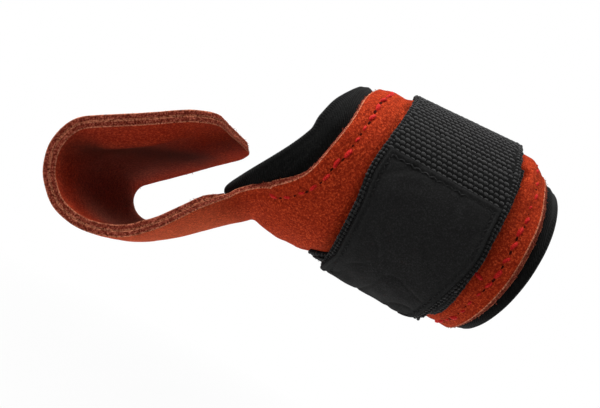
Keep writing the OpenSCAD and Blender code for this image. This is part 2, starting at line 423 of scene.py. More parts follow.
@dataclass(frozen=True)
class Scatter:
    """Geometry Nodes that repeat one motif at seed points.

    Attributes:
        motif: The shape that is repeated.
        length: Length of one copy.
        width: Width of one copy.
        height: Height of one copy.
        drop: How far the ends of an arch go down into the surface.
        spread: Share by which the copies differ in size.
        seed: Seed of those differences.
    """
    motif: Motif
    length: float
    width: float
    height: float
    drop: float = 0.0
    spread: float = 0.15
    seed: int = 3

    SIZES = ("Length", "Width", "Height", "Drop", "Spread")

    def shape(self, canvas: Canvas, size: dict[str, NodeSocket]) -> NodeSocket:
        """Adds the nodes of one copy.

        Args:
            canvas: The tree that takes the nodes.
            size: Sockets of the named sizes.

        Returns:
            The socket that gives the copy's mesh.
        """
        if self.motif is Motif.BEAD:
            ball = canvas.node("GeometryNodeMeshUVSphere", {"Segments": 8, "Rings": 5, "Radius": 0.5})
            sides = {number: size[name] for number, name in enumerate(("Length", "Width", "Height"))}
            scale = canvas.node("ShaderNodeCombineXYZ", sides).outputs[0]
            ball = canvas.node("GeometryNodeTransform", {"Geometry": ball.outputs[0], "Scale": scale})
            return ball.outputs[0]
        half = canvas.math("MULTIPLY", size["Length"], 0.5)
        down = canvas.math("MULTIPLY", size["Drop"], -1.0)
        crest = canvas.math("ADD", canvas.math("MULTIPLY", size["Height"], 2.0), size["Drop"])
        if self.motif is Motif.ARCH:
            start = canvas.node("ShaderNodeCombineXYZ", {0: canvas.math("MULTIPLY", half, -1.0), 2: down})
            end = canvas.node("ShaderNodeCombineXYZ", {0: half, 2: down})
        else:
            start = canvas.node("ShaderNodeCombineXYZ", {2: down})
            end = canvas.node("ShaderNodeCombineXYZ", {0: size["Length"], 2: size["Height"]})
        top = canvas.node("ShaderNodeCombineXYZ", {2: crest})
        path = canvas.node("GeometryNodeCurveQuadraticBezier",
                           {"Resolution": 5, "Start": start.outputs[0], "Middle": top.outputs[0],
                            "End": end.outputs[0]})
        circle = canvas.node("GeometryNodeCurvePrimitiveCircle",
                             {"Resolution": 5, "Radius": canvas.math("MULTIPLY", size["Width"], 0.5)})
        return canvas.node("GeometryNodeCurveToMesh", {
            "Curve": path.outputs[0], "Profile Curve": circle.outputs[0], "Fill Caps": True}).outputs[0]

    def tree(self) -> NodeTree:
        """Builds the node tree with its named inputs.

        Returns:
            The new tree.
        """
        tree = bpy.data.node_groups.new(f"scatter_{self.motif.value}", "GeometryNodeTree")
        sizes = dict.fromkeys(self.SIZES, "Float")
        for name, kind in {"Geometry": "Geometry", **sizes, "Seed": "Int", "Material": "Material"}.items():
            tree.interface.new_socket(name, in_out="INPUT", socket_type=f"NodeSocket{kind}")
        tree.interface.new_socket("Geometry", in_out="OUTPUT", socket_type="NodeSocketGeometry")
        canvas = Canvas(tree)
        given = canvas.node("NodeGroupInput").outputs
        copy = self.shape(canvas, {name: given[name] for name in self.SIZES})
        read = {name: canvas.node("GeometryNodeInputNamedAttribute", {"Name": f"seed_{name}"},
                                  data_type="FLOAT_VECTOR").outputs[0] for name in Seeds.VECTORS}
        turn = canvas.node("FunctionNodeAxesToRotation", {0: read["up"], 1: read["along"]},
                           primary_axis="Z", secondary_axis="X")
        least = canvas.math("SUBTRACT", 1.0, given["Spread"])
        most = canvas.math("ADD", 1.0, given["Spread"])
        chance = canvas.node("FunctionNodeRandomValue", {2: least, 3: most, 8: given["Seed"]},
                             data_type="FLOAT")
        scale = canvas.node("ShaderNodeVectorMath", {0: read["size"], 3: chance.outputs[1]},
                            operation="SCALE")
        spread = canvas.node("GeometryNodeInstanceOnPoints",
                             {"Points": given["Geometry"], "Instance": copy, "Rotation": turn.outputs[0],
                              "Scale": scale.outputs[0]})
        plain = canvas.node("GeometryNodeRealizeInstances", {0: spread.outputs[0]})
        soft = canvas.node("GeometryNodeSetShadeSmooth", {0: plain.outputs[0]})
        dressed = canvas.node("GeometryNodeSetMaterial", {0: soft.outputs[0], "Material": given["Material"]})
        canvas.node("NodeGroupOutput", {0: dressed.outputs[0]})
        return tree

    def build(self, name: str, seeds: Seeds, material: Material) -> Object:
        """Repeats the motif and keeps the result as a plain mesh.

        Args:
            name: Name of the new object.
            seeds: Where the copies go.
            material: Material of the copies.

        Returns:
            The new object.
        """
        carrier = write_mesh(f"{name}_seeds", seeds.points, np.zeros((0, 4), dtype=int), [])
        for key in Seeds.VECTORS:
            values = carrier.data.attributes.new(f"seed_{key}", "FLOAT_VECTOR", "POINT")
            values.data.foreach_set("vector", getattr(seeds, key).astype(np.float32).ravel())
        modifier = carrier.modifiers.new("scatter", "NODES")
        modifier.node_group = self.tree()
        values = {"Length": self.length * MM, "Width": self.width * MM, "Height": self.height * MM,
                  "Drop": self.drop * MM, "Spread": self.spread, "Seed": self.seed, "Material": material}
        for item in modifier.node_group.interface.items_tree:
            if item.name in values:
                item.default_value = values[item.name]
                modifier[item.identifier] = values[item.name]
        bpy.context.view_layer.update()
        evaluated = carrier.evaluated_get(bpy.context.evaluated_depsgraph_get())
        mesh = bpy.data.meshes.new_from_object(evaluated)
        carrier.modifiers.remove(modifier)
        bpy.data.objects.remove(carrier)
        for key in Seeds.VECTORS:
            if mesh.attributes.get(f"seed_{key}"):
                mesh.attributes.remove(mesh.attributes[f"seed_{key}"])
        mesh.name = name
        return placed(name, mesh)


class GroupBook:
    """Shader node groups that several finishes share, each built once."""

    @staticmethod
    def start(name: str, inputs: dict[str, float], outputs: tuple[str, ...]) -> Canvas:
        """Starts a new group.

        Args:
            name: Name of the group.
            inputs: Names and default values of its number inputs.
            outputs: Names of its number outputs.

        Returns:
            The canvas of the group.
        """
        tree = bpy.data.node_groups.new(name, "ShaderNodeTree")
        for key, value in inputs.items():
            socket = tree.interface.new_socket(key, in_out="INPUT", socket_type="NodeSocketFloat")
            socket.default_value = value
        for key in outputs:
            tree.interface.new_socket(key, in_out="OUTPUT", socket_type="NodeSocketFloat")
        return Canvas(tree)

    @staticmethod
    @cache
    def speckle() -> NodeTree:
        """Fine and coarse grain read from the piece's own coordinates.

        Returns:
            The group, with a Fine and a Coarse mask and a Height.
        """
        canvas = GroupBook.start("speckle", {"Grain": 1.0, "Patch": 12.0}, ("Fine", "Coarse", "Height"))
        given = canvas.node("NodeGroupInput").outputs
        place = canvas.node("ShaderNodeTexCoord").outputs["Object"]
        fine_scale = canvas.math("DIVIDE", 1.0 / MM, given["Grain"])
        coarse_scale = canvas.math("DIVIDE", 1.0 / MM, given["Patch"])
        nap = canvas.node("ShaderNodeTexNoise", {"Vector": place, "Scale": fine_scale, "Detail": 5.0,
                                                 "Roughness": 0.7, "Distortion": 0.6}).outputs[0]
        tuft_scale = canvas.math("MULTIPLY", fine_scale, 0.9)
        tuft = canvas.node("ShaderNodeTexVoronoi", {"Vector": place, "Scale": tuft_scale, "Detail": 1.0},
                           feature="SMOOTH_F1").outputs["Distance"]
        coarse = canvas.node("ShaderNodeTexNoise", {"Vector": place, "Scale": coarse_scale, "Detail": 3.0,
                                                    "Roughness": 0.5}).outputs[0]
        mask = canvas.math("SUBTRACT", nap, canvas.math("MULTIPLY", tuft, 0.22))
        canvas.node("NodeGroupOutput", {"Fine": canvas.remap(mask, 0.2, 0.52),
                                        "Coarse": canvas.remap(coarse, 0.3, 0.7), "Height": mask})
        return canvas.tree

    @staticmethod
    @cache
    def rib() -> NodeTree:
        """Crossing ribs read from the flat place of the cloth.

        Returns:
            The group, with a Height.
        """
        canvas = GroupBook.start("rib", {"Pitch": 1.0, "Turn": 0.0, "Cross": 0.3}, ("Height",))
        given = canvas.node("NodeGroupInput").outputs
        place = canvas.node("ShaderNodeUVMap", uv_map="flat").outputs[0]
        spin = canvas.node("ShaderNodeVectorRotate", {"Vector": place, "Angle": given["Turn"]},
                           rotation_type="Z_AXIS")
        apart = canvas.node("ShaderNodeSeparateXYZ", {0: spin.outputs[0]})
        rate = canvas.math("DIVIDE", 2.0 * math.pi / MM, given["Pitch"])
        along = canvas.math("SINE", canvas.math("MULTIPLY", apart.outputs[0], rate))
        across = canvas.math("SINE", canvas.math("MULTIPLY", apart.outputs[1], rate))
        mixed = canvas.math("ADD", along, canvas.math("MULTIPLY", across, given["Cross"]))
        canvas.node("NodeGroupOutput", {"Height": canvas.remap(mixed, -1.3, 1.3)})
        return canvas.tree


@dataclass(frozen=True)
class Finish:
    """A soft matte surface with grain, colour drift and, on cloth, ribs.

    Attributes:
        name: Name of the material.
        shade: Colour in the hollows of the grain.
        body: Main colour.
        light: Colour on the crests of the grain.
        grain: Size of the fine grain.
        patch: Size of the slow colour drift.
        relief: Height of the grain in the bump.
        roughness: Roughness of the surface.
        specular: Specular level.
        sheen: Weight of the sheen.
        sheen_tint: Colour of the sheen.
        rib_pitch: Distance between two ribs, or 0 for none.
        rib_turn: Slant of the ribs, in degrees.
        rib_cross: Strength of the crossing ribs.
        rib_relief: Height of the ribs in the bump.
        corner: Colour along the two corners of a cut edge, paler fibres partly painted as a highlight, or
            None.
        worn_and_painted_light: Colour of rubbed nap where a piece's wear is 1, which also carries painted
            light and painted shade, or None.
        painted_shade: Colour of the painted shade where a piece's grime is 1, or None.
    """
    name: str
    shade: Colour
    body: Colour
    light: Colour
    grain: float = 0.5
    patch: float = 10.0
    relief: float = 0.12
    roughness: float = 0.95
    specular: float = 0.05
    sheen: float = 0.0
    sheen_tint: Colour = (1.0, 1.0, 1.0)
    rib_pitch: float = 0.0
    rib_turn: float = 0.0
    rib_cross: float = 0.3
    rib_relief: float = 0.15
    corner: Colour | None = None
    worn_and_painted_light: Colour | None = None
    painted_shade: Colour | None = None

    def material(self) -> Material:
        """Builds the material, or gives the one that exists.

        Returns:
            The material.
        """
        name = f"grip_{self.name}"
        if name in bpy.data.materials:
            return bpy.data.materials[name]
        material = bpy.data.materials.new(name)
        canvas = Canvas.cleared(material)
        speck = canvas.node("ShaderNodeGroup", {"Grain": self.grain, "Patch": self.patch},
                            node_tree=GroupBook.speckle())
        fine = speck.outputs["Fine"]
        base = canvas.blend(fine, (*self.shade, 1.0), (*self.body, 1.0))
        crest = canvas.remap(fine, 0.5, 1.0)
        drift = canvas.math("MULTIPLY", crest, canvas.remap(speck.outputs["Coarse"], 0.0, 1.0, 0.35, 1.0))
        colour = canvas.blend(drift, base, (*self.light, 1.0))
        normal = canvas.node("ShaderNodeBump", {"Strength": 1.0, "Distance": self.relief * MM,
                                                "Height": speck.outputs["Height"]})
        if self.rib_pitch:
            rib = canvas.node("ShaderNodeGroup", {
                "Pitch": self.rib_pitch, "Turn": math.radians(self.rib_turn), "Cross": self.rib_cross},
                node_tree=GroupBook.rib())
            normal = canvas.node("ShaderNodeBump", {"Strength": 1.0, "Distance": self.rib_relief * MM,
                                                    "Height": rib.outputs[0], "Normal": normal.outputs[0]})
            shaded = canvas.remap(rib.outputs[0], 0.0, 1.0, 0.45, 0.0)
            colour = canvas.blend(shaded, colour, (*self.shade, 1.0))
        # Rubbed nap, which also paints light on the flap's outside and shade in the curl.
        if self.worn_and_painted_light:
            wear_and_painted_light = canvas.node("ShaderNodeAttribute", attribute_name="wear_and_painted_light").outputs["Fac"]
            dull = (*[0.5 * c for c in self.worn_and_painted_light], 1.0)
            colour = canvas.blend(wear_and_painted_light, colour, canvas.blend(fine, dull, (*self.worn_and_painted_light, 1.0)))
        # Painted shade along the trough inside the curl.
        if self.painted_shade:
            painted_shade = canvas.node("ShaderNodeAttribute", attribute_name="painted_shade").outputs["Fac"]
            colour = canvas.blend(painted_shade, colour, (*self.painted_shade, 1.0))
        # Paler fibres along the corners of a cut edge, partly a painted highlight.
        if self.corner:
            rim = canvas.node("ShaderNodeAttribute", attribute_name="rim").outputs["Fac"]
            bare = canvas.math("MULTIPLY", canvas.remap(rim, 0.5, 0.97), canvas.remap(fine, 0.1, 0.75))
            colour = canvas.blend(bare, colour, (*self.corner, 1.0))
        surface = canvas.node("ShaderNodeBsdfPrincipled", {
            "Base Color": colour, "Roughness": self.roughness, "Specular IOR Level": self.specular,
            "Sheen Weight": self.sheen, "Sheen Roughness": 0.45, "Sheen Tint": (*self.sheen_tint, 1.0),
            "Normal": normal.outputs[0]})
        canvas.node("ShaderNodeOutputMaterial", {0: surface.outputs[0]})
        return material


def greys(*levels: float) -> tuple[Colour, ...]:
    """One grey for each level."""
    return tuple((level, level, level) for level in levels)


# The suede's rubbed colour is paler nap and partly painted light on the flap's underside.
SUEDE = Finish("suede", (0.2, 0.0135, 0.004), (0.5, 0.043, 0.0115), (0.72, 0.09, 0.026), grain=0.8,
               patch=15.0, relief=0.55, specular=0.04, sheen=0.08, sheen_tint=(1.0, 0.35, 0.15),
               worn_and_painted_light=(0.84, 0.15, 0.058))
# The lining suede's rubbed colour carries painted shade in the curl; its darkest colour is the painted shade
# of the trough.
LINED_SUEDE = replace(SUEDE, name="lined_suede", shade=(0.23, 0.016, 0.006), body=(0.52, 0.043, 0.0145),
                      light=(0.72, 0.092, 0.03), patch=14.0, sheen=0.05, worn_and_painted_light=(0.53, 0.185, 0.13),
                      painted_shade=(0.1, 0.028, 0.019))
# The corner colour of the cut edge is partly a painted highlight.
CUT_EDGE = Finish("cut_edge", (0.07, 0.008, 0.0045), (0.35, 0.051, 0.027), (0.64, 0.2, 0.125), grain=0.7,
                  patch=5.0, relief=0.5, roughness=1.0, corner=(0.88, 0.33, 0.18))
FUZZ = Finish("edge_fibre", (0.3, 0.05, 0.025), (0.45, 0.09, 0.05), (0.7, 0.25, 0.16), grain=1.2, patch=6.0,
              relief=0.05, roughness=1.0)
THREAD = Finish("red_thread", (0.34, 0.004, 0.004), (0.72, 0.016, 0.012), (0.9, 0.05, 0.03), patch=9.0,
                roughness=0.7, specular=0.15)
HOLE = Finish("needle_hole", (0.02, 0.003, 0.002), (0.05, 0.007, 0.004), (0.09, 0.014, 0.008), grain=0.6,
              patch=4.0, relief=0.1, roughness=1.0, specular=0.04)
JERSEY = Finish("black_jersey", (0.002, 0.0021, 0.0021), (0.0065, 0.0065, 0.0063), (0.015, 0.0148, 0.014),
                grain=0.7, sheen=0.05, rib_pitch=0.9, rib_turn=38.0, rib_cross=0.25, rib_relief=0.16)
LINING = Finish("lining_knit", *greys(0.004, 0.014, 0.03), grain=0.8, relief=0.15, specular=0.06,
                rib_pitch=1.3, rib_cross=0.8, rib_relief=0.18)
WEBBING = Finish("webbing_yarn", *greys(0.005, 0.015, 0.032), patch=9.0, roughness=0.66, specular=0.15,
                 sheen=0.12)
# The core is darker than the yarn: painted shade between the floats and on the patch's end.
SHADED_WEBBING_CORE = Finish("shaded_webbing_core", *greys(0.004, 0.009, 0.016), patch=8.0, relief=0.1, roughness=0.9)
PATCH = Finish("patch_cloth", *greys(0.013, 0.021, 0.034), grain=0.6, patch=11.0, relief=0.06, roughness=0.9,
               sheen=0.02, rib_pitch=0.55, rib_cross=0.9, rib_relief=0.03)
PATCH_THREAD = Finish("patch_thread", *greys(0.003, 0.009, 0.02), grain=0.4, patch=6.0, relief=0.08,
                      roughness=0.7, specular=0.15)
HOOK_TAPE = Finish("hook_tape", (0.014, 0.0145, 0.014), (0.034, 0.036, 0.034), (0.07, 0.074, 0.07), patch=7.0,
                   roughness=0.75, specular=0.15)
PILE = Finish("tape_pile", *greys(0.004, 0.013, 0.035), grain=0.6, patch=8.0, relief=0.15, roughness=0.9,
              specular=0.06, sheen=0.05)


@dataclass(frozen=True)
class Bend:
    """An edge of two straight runs that are joined by a soft bend.

    Attributes:
        x: Place of the bend along the cuff.
        z: Height of the bend.
        upper: Change of X with Z above the bend.
        lower: Change of X with Z below the bend.
        softness: Size of the soft stretch.
    """
    x: float
    z: float
    upper: float
    lower: float
    softness: float

    def at(self, z: Array) -> Array:
        """Place of the edge along the cuff at each height."""
        d, slope, turn = z - self.z, (self.upper + self.lower) / 2.0, (self.lower - self.upper) / 2.0
        return self.x + slope * d - turn * np.sqrt(d * d + self.softness * self.softness)


@dataclass(frozen=True)
class CuffForm:
    """Sizes and outlines of the layers round the cuff.

    The layers and the cut are those of the CAD source, and the lap, the swing and the trim come from wear.

    Attributes:
        wrist_radius: Inner radius of the closed pad.
        lining: Thickness of the lining.
        foam: Thickness of the foam core.
        cover: Thickness of the jersey cover.
        leather: Thickness of one leather ply.
        bond: Glue line between two layers.
        pad_gap: Space between the pad ends on the back of the cuff.
        pad_bend: Front edge of the pad.
        pad_rear_reach: Rear edge of the pad.
        panel_bend: Front edge of the leather, as it is cut.
        panel_rear_reach: Rear edge of the leather.
        rear_dip: How far both rear edges are drawn in on the underside.
        panel_end_inset: How far the leather ends stop short of the pad ends.
        edge_allowance: Room past the leather that the drawn in edges are worked out over.
        front_lap: How far the worn front edge has crept forward away from the underside.
        front_swing: How much further it has crept half way up to the back of the cuff.
        back_trim: How far the rear edge is drawn in on the back of the cuff.
    """
    wrist_radius: float = 28.5
    lining: float = 0.8
    foam: float = 4.0
    cover: float = 0.8
    leather: float = 2.4
    bond: float = 0.1
    pad_gap: float = 8.0
    pad_bend: Bend = Bend(x=-59.5, z=-3.0, upper=0.3, lower=0.6, softness=10.0)
    pad_rear_reach: float = 45.5
    panel_bend: Bend = Bend(x=-47.5, z=-11.0, upper=0.17, lower=1.3, softness=6.0)
    panel_rear_reach: float = 38.0
    rear_dip: float = 6.0
    panel_end_inset: float = 3.0
    edge_allowance: float = 4.0
    front_lap: float = 1.4
    front_swing: float = 2.0
    back_trim: float = 1.6

    @property
    def lining_outer(self) -> float:
        """Outer radius of the lining."""
        return self.wrist_radius + self.lining

    @property
    def pad_outer(self) -> float:
        """Outer radius of the pad under the leather."""
        return self.lining_outer + self.foam + self.cover + 2.0 * self.bond

    @property
    def leather_inner(self) -> float:
        """Inner radius of the leather."""
        return self.pad_outer + self.bond

    @property
    def leather_outer(self) -> float:
        """Outer radius of the leather."""
        return self.leather_inner + self.leather

    @property
    def leather_middle(self) -> float:
        """Radius half way through the leather."""
        return self.leather_inner + self.leather / 2.0

    def drawn_in(self, reach: Real, radius: float, angle: Array) -> Array:
        """Rear edge that is drawn in on the underside.

        Args:
            reach: Where the edge lies elsewhere.
            radius: Radius of the layer.
            angle: Angles round the cuff.

        Returns:
            Place of the edge along the cuff at each angle.
        """
        below = np.maximum(0.0, -radius * np.sin(np.radians(angle)))
        depth = below / (self.leather_outer + self.edge_allowance)
        return reach - self.rear_dip * depth * depth

    def panel_front(self, angle: Array) -> Array:
        """Front edge of the worn leather, without the flap.

        Args:
            angle: Angles round the cuff.

        Returns:
            Place of the edge along the cuff at each angle.
        """
        from_under = np.abs(angle - UNDER)
        lap = self.front_lap * rise(from_under, 60.0, 36.0) + self.front_swing * hump(from_under, 138.0, 18.0)
        return self.panel_bend.at(self.leather_middle * np.sin(np.radians(angle))) - lap

    def panel_rear(self, angle: Array) -> Array:
        """Rear edge of the worn leather at each angle."""
        reach = self.panel_rear_reach - self.back_trim * rise(np.abs(angle - UNDER), 115.0, 30.0)
        return self.drawn_in(reach, self.leather_middle, angle)

    def pad_front(self, angle: Array) -> Array:
        """Front edge of the pad at each angle."""
        return self.pad_bend.at(self.pad_outer * np.sin(np.radians(angle)))

    def pad_rear(self, angle: Array) -> Array:
        """Rear edge of the pad at each angle."""
        return self.drawn_in(self.pad_rear_reach, self.pad_outer, angle)

    @staticmethod
    def end_angle(half_gap: float, radius: float) -> float:
        """Angle at which a layer ends beside the gap on the back of the cuff."""
        return BACK + math.degrees(math.asin(half_gap / radius))


@dataclass(frozen=True)
class StrapForm:
    """Path and sizes of the webbing strap.

    The first fields are those of the CAD source. The last six are how the worn strap lies: its skew on the
    underside, the belly of its two edges on the near side, how far the strap and its rear edge lean forward
    on the back, and the rise of its rear edge there. Angles past one full turn lie on the strap's own start.
    """
    cuff: CuffForm
    width: float = 50.0
    webbing: float = 2.0
    loop: float = 1.2
    hook: float = 1.2
    patch: float = 1.0
    tape_inset: float = 2.0
    patch_inset: float = 2.5
    start_angle: float = 125.0
    hinge_angle: float = 158.0
    end_angle: float = 248.0
    drift: float = 2.5
    taper: float = 4.0
    climb_start: float = 60.0
    climb_end: float = 120.0
    tape_setback: float = 4.0
    loop_overrun: float = 12.0
    patch_setback: float = 1.0
    part_gap: float = 0.3
    skew: float = 9.0
    belly: float = 3.6
    lean: float = 2.0
    rear_belly: float = 1.5
    back_lean: float = 2.0
    rear_rise: float = 3.4

    @property
    def inner(self) -> float:
        """Inner radius of the strap on the leather."""
        return self.cuff.leather_outer + self.cuff.bond

    @property
    def tape_lift(self) -> float:
        """Lift of a tape that lies on the webbing."""
        return self.webbing + self.cuff.bond

    @property
    def tail_lift(self) -> float:
        """Lift of the tail over the strap start."""
        return self.tape_lift + self.loop + self.part_gap + self.hook + self.cuff.bond

    def radius(self, angle: Array, lift: Real) -> Array:
        """Radius of the strap path at an angle, past one full turn on top of its own start."""
        climbed = rise(angle - FULL_TURN, self.climb_start, self.climb_end - self.climb_start)
        return self.inner + lift + climbed * self.tail_lift

    def raised(self, x: Array, angle: Array) -> Array:
        """How far the strap stands higher toward the rear on the back of the cuff."""
        return self.rear_rise * fall(from_back(angle), 20.0, 60.0) * np.clip(x / self.width + 0.5, 0.0, 1.0)

    def edges(self, angle: Array, inset: float) -> tuple[Array, Array]:
        """Front and rear edge of the strap at an angle.

        Args:
            angle: Angles round the cuff.
            inset: How far the edges are drawn in.

        Returns:
            X of the front edge and of the rear edge.
        """
        outer = self.inner + self.tail_lift + self.tape_lift + self.patch
        top = outer * math.sin(math.radians(self.hinge_angle))
        low = outer * math.sin(math.radians(self.end_angle))
        share = np.clip((top - outer * np.sin(np.radians(angle))) / (top - low), 0.0, 1.0)
        share = np.where(angle > FULL_TURN + self.climb_end, share, 0.0)
        turned = angle - FULL_TURN
        lean = self.lean * rise(turned, self.climb_start, 40.0) * fall(turned, 172.0, 25.0)
        aside = self.drift * share + self.skew * hump(angle, UNDER - 7.0, 15.0) + lean
        half = self.width / 2.0 - inset
        back = self.back_lean * rise(turned, self.climb_start, 30.0) * fall(turned, 118.0, 40.0)
        rear = half - aside - back - self.taper * share * share
        return (-half - aside - self.belly * hump(turned, 178.0, 38.0),
                rear + self.rear_belly * hump(turned, 186.0, 24.0))


@dataclass(frozen=True)
class Swell:
    """How the padded leather bulges out where the strap doesn't press on it.

    Attributes:
        strap: Path of the strap.
        top_front: Bulge on the back of the cuff, on the front side of the strap.
        top_rear: Bulge on the back of the cuff, on the rear side of the strap.
        tuck: Share of that bulge that is lost at the edge of the leather.
        tuck_reach: Distance from the edge over which it is lost.
        round_front: Bulge all round, on the front side of the strap.
        round_rear: Bulge all round, on the rear side of the strap.
        still_x: Place toward the front at which the bulge has gone.
    """
    strap: StrapForm
    top_front: float = 2.2
    top_rear: float = 6.4
    tuck: float = 0.7
    tuck_reach: float = 4.2
    round_front: float = 2.4
    round_rear: float = 0.6
    still_x: float = -61.0

    def under_strap(self, angle: Array) -> Array:
        """How far the leather follows the strap up to the strap's own start.

        Args:
            angle: Angles round the cuff.

        Returns:
            The rise under the strap at each angle.
        """
        turned = angle % FULL_TURN
        risen = self.strap.radius(turned + FULL_TURN, 0.0) - self.strap.inner - self.strap.part_gap / 2.0
        ends = fall(turned, self.strap.start_angle - 27.0, 22.0)
        return np.maximum(0.0, risen) * np.where(turned < self.strap.start_angle, ends, 0.0)

    def at(self, x: Array, angle: Array) -> Array:
        """Bulge at places on the cuff.

        Args:
            x: Places along the cuff.
            angle: Angles round the cuff.

        Returns:
            How far the leather stands out at each place.
        """
        cuff, turned = self.strap.cuff, angle % FULL_TURN
        outermost = np.where(turned < self.strap.start_angle, turned + FULL_TURN, turned)
        front_edge, rear_edge = self.strap.edges(outermost, 0.0)
        to_edge = np.minimum(x - cuff.panel_front(angle), cuff.panel_rear(angle) - x)
        tucked = 1.0 - self.tuck * hump(np.maximum(0.0, to_edge), 0.0, self.tuck_reach)
        near_back = fall(from_back(angle), 18.0, 60.0)
        back = tucked * near_back
        settled = self.round_front * rise(x, self.still_x, 14.0) * mix(1.0, tucked, near_back)
        front = np.maximum(rise(front_edge, x, 8.0) * settled, back * self.top_front)
        rear = rise(x, rear_edge - 1.0, 4.0) * np.maximum(self.round_rear, back * self.top_rear)
        bulge = np.maximum(np.where(x < 0.0, front, 0.0), rear)
        free = rise(np.maximum(front_edge - x, x - rear_edge), -1.0, 4.0)
        return mix(self.under_strap(angle) + self.strap.raised(x, angle), bulge, free)


@dataclass(frozen=True)
class FlapForm:
    """The palm flap as a bent sheet: station along it, side across it, lift off its middle.

    Stations 0 to 1 are the fold and the run, 1 to 2 the curl and 2 to 3 the end. Side 0 is the near edge
    and side 1 the far edge. The fields up to inner_start are those of the CAD source: the curl closes along
    its turn by the share ease, and the trough of the neck is flat from the station trough_end. The rest are
    how the worn leather lies: its seat on the pad, its waves, the sagging shoulders and the bulging heel of
    the neck, a fold along the end, the tucked start of the curl and the sag of the far edge.
    """
    cuff: CuffForm
    neck_angle: float = 55.0
    neck_gap: float = 0.3
    width: float = 70.0
    fold_angle: float = 44.0
    fold_radius: float = 6.0
    run_length: float = 40.0
    near_radius: float = 24.5
    far_radius: float = 14.0
    near_turn: float = 191.0
    far_turn: float = 180.0
    ease: float = 0.39
    near_tip: float = 48.0
    far_tip: float = 54.0
    tip_corner: float = 12.0
    waist_depth: float = 3.5
    waist_reach: float = 6.0
    trough_end: float = 2.1
    trough_power: float = 2.3
    lower_fold: float = 1.22
    upper_fold: float = 1.64
    inner_start: float = 10.0
    seat_length: float = 10.0
    slow_wave: float = 0.3
    quick_wave: float = 0.1
    shoulder_x: float = -70.5
    shoulder_reach: float = 7.5
    shoulder_turn: float = 5.0
    heel_x: float = -57.0
    heel_reach: float = 8.0
    heel_bulge: float = 1.3
    tip_fold: float = 3.2
    bottom_tuck: float = 1.8
    far_sag: float = 1.6
    tip_fold_side: float = 0.2

    @property
    def neck_radius(self) -> float:
        """Radius of the middle of the sheet where it leaves the cuff."""
        return self.cuff.leather_inner + self.neck_gap

    @property
    def neck_x(self) -> float:
        """Place of the neck along the cuff."""
        z = -self.cuff.leather_inner * math.cos(math.radians(self.neck_angle))
        return float(self.cuff.panel_bend.at(z))

    @property
    def fold_length(self) -> float:
        """Length of the fold along the sheet."""
        return self.fold_radius * math.radians(self.fold_angle)

    @property
    def run_end(self) -> float:
        """Length from the neck to the curl."""
        return self.fold_length + self.run_length

    def folded(self, station: Array) -> Array:
        """How far the fold has turned the sheet at each station, in degrees."""
        return self.fold_angle * np.minimum(1.0, np.minimum(1.0, station) * self.run_end / self.fold_length)

    def heading(self, station: Array, side: Array) -> Array:
        """Heading of the sheet in the XZ plane, in degrees."""
        curled = mix(self.near_turn, self.far_turn, side) * np.clip(station - 1.0, 0.0, 1.0)
        return FULL_TURN / 2.0 + self.folded(station) - curled

    @staticmethod
    def forward(heading: Array) -> Array:
        """Direction along the sheet, as X and Z."""
        h = np.radians(heading)
        return coords(np.cos(h), np.sin(h))

    @staticmethod
    def inward(heading: Array) -> Array:
        """Direction to the inner face of the curl, as X and Z."""
        h = np.radians(heading)
        return coords(np.sin(h), -np.cos(h))

    def spoke(self, station: Array, side: Array) -> Array:
        """Spoke from the middle of the curl to the sheet, which shortens along the turn.

        Args:
            station: Stations along the flap.
            side: Sides across the flap.

        Returns:
            X and Z of each spoke.
        """
        radius = mix(self.near_radius, self.far_radius, side)
        turn = np.radians(mix(self.near_turn, self.far_turn, side))
        h = self.heading(station, side)
        eased = (radius * (1.0 + self.ease * (3.0 - 2.0 * station)))[..., None]
        lag = (2.0 * self.ease * radius / turn)[..., None]
        return -eased * self.inward(h) - lag * self.forward(h)

    def tip_reach(self, side: Array) -> Array:
        """Length past the curl, shorter at the rounded corners."""
        e = np.maximum(0.0, 1.0 - self.width / 2.0 * (1.0 - np.abs(2.0 * side - 1.0)) / self.tip_corner)
        return mix(self.near_tip, self.far_tip, side) - self.tip_corner * (1.0 - np.sqrt(1.0 - e * e))

    def path(self, station: Array, side: Array) -> Array:
        """Middle of the sheet in the XZ plane.

        Args:
            station: Stations along the flap.
            side: Sides across the flap.

        Returns:
            X and Z of each place.
        """
        s = np.minimum(1.0, station) * self.run_end
        a = np.radians(self.folded(station))
        x = self.neck_x - self.fold_radius * np.sin(a)
        z = -self.neck_radius - self.fold_radius * (1.0 - np.cos(a))
        straight = np.maximum(0.0, s - self.fold_length)[..., None]
        place = coords(x, z) + straight * self.forward(np.array(FULL_TURN / 2.0 + self.fold_angle))
        curled = np.clip(station, 1.0, 2.0)
        place = place + self.spoke(curled, side) - self.spoke(np.ones_like(curled), side)
        end = (np.maximum(0.0, station - 2.0) * self.tip_reach(side))[..., None]
        return place + end * self.forward(self.heading(np.full_like(curled, 2.0), side))

    def half_width(self, station: Array) -> Array:
        """Half the width of the sheet, drawn in to a waist past the neck.

        Args:
            station: Stations along the flap.

        Returns:
            The half width at each station.
        """
        s = station * self.run_end / self.waist_reach
        neck = self.neck_radius * math.radians(self.neck_angle)
        return mix(neck, self.width / 2.0, np.minimum(1.0, station)) - self.waist_depth * s * np.exp(1.0 - s)

    def bare_point(self, station: Array, side: Array, lift: Array) -> Array:
        """Place on the sheet before any unevenness.

        Args:
            station: Stations along the flap.
            side: Sides across the flap.
            lift: Distances from the middle of the sheet, outward.

        Returns:
            The points.
        """
        v = 2.0 * side - 1.0
        bow = self.neck_angle * np.maximum(0.0, 1.0 - station / self.trough_end) ** self.trough_power
        b = np.radians(np.maximum(bow, 0.01))
        radius = self.half_width(station) / b
        height = radius * (1.0 - np.cos(v * b)) - lift * np.cos(v * b)
        place = self.path(station, side) + height[..., None] * self.inward(self.heading(station, side))
        return coords(place[..., 0], (radius + lift) * np.sin(v * b), place[..., 1])

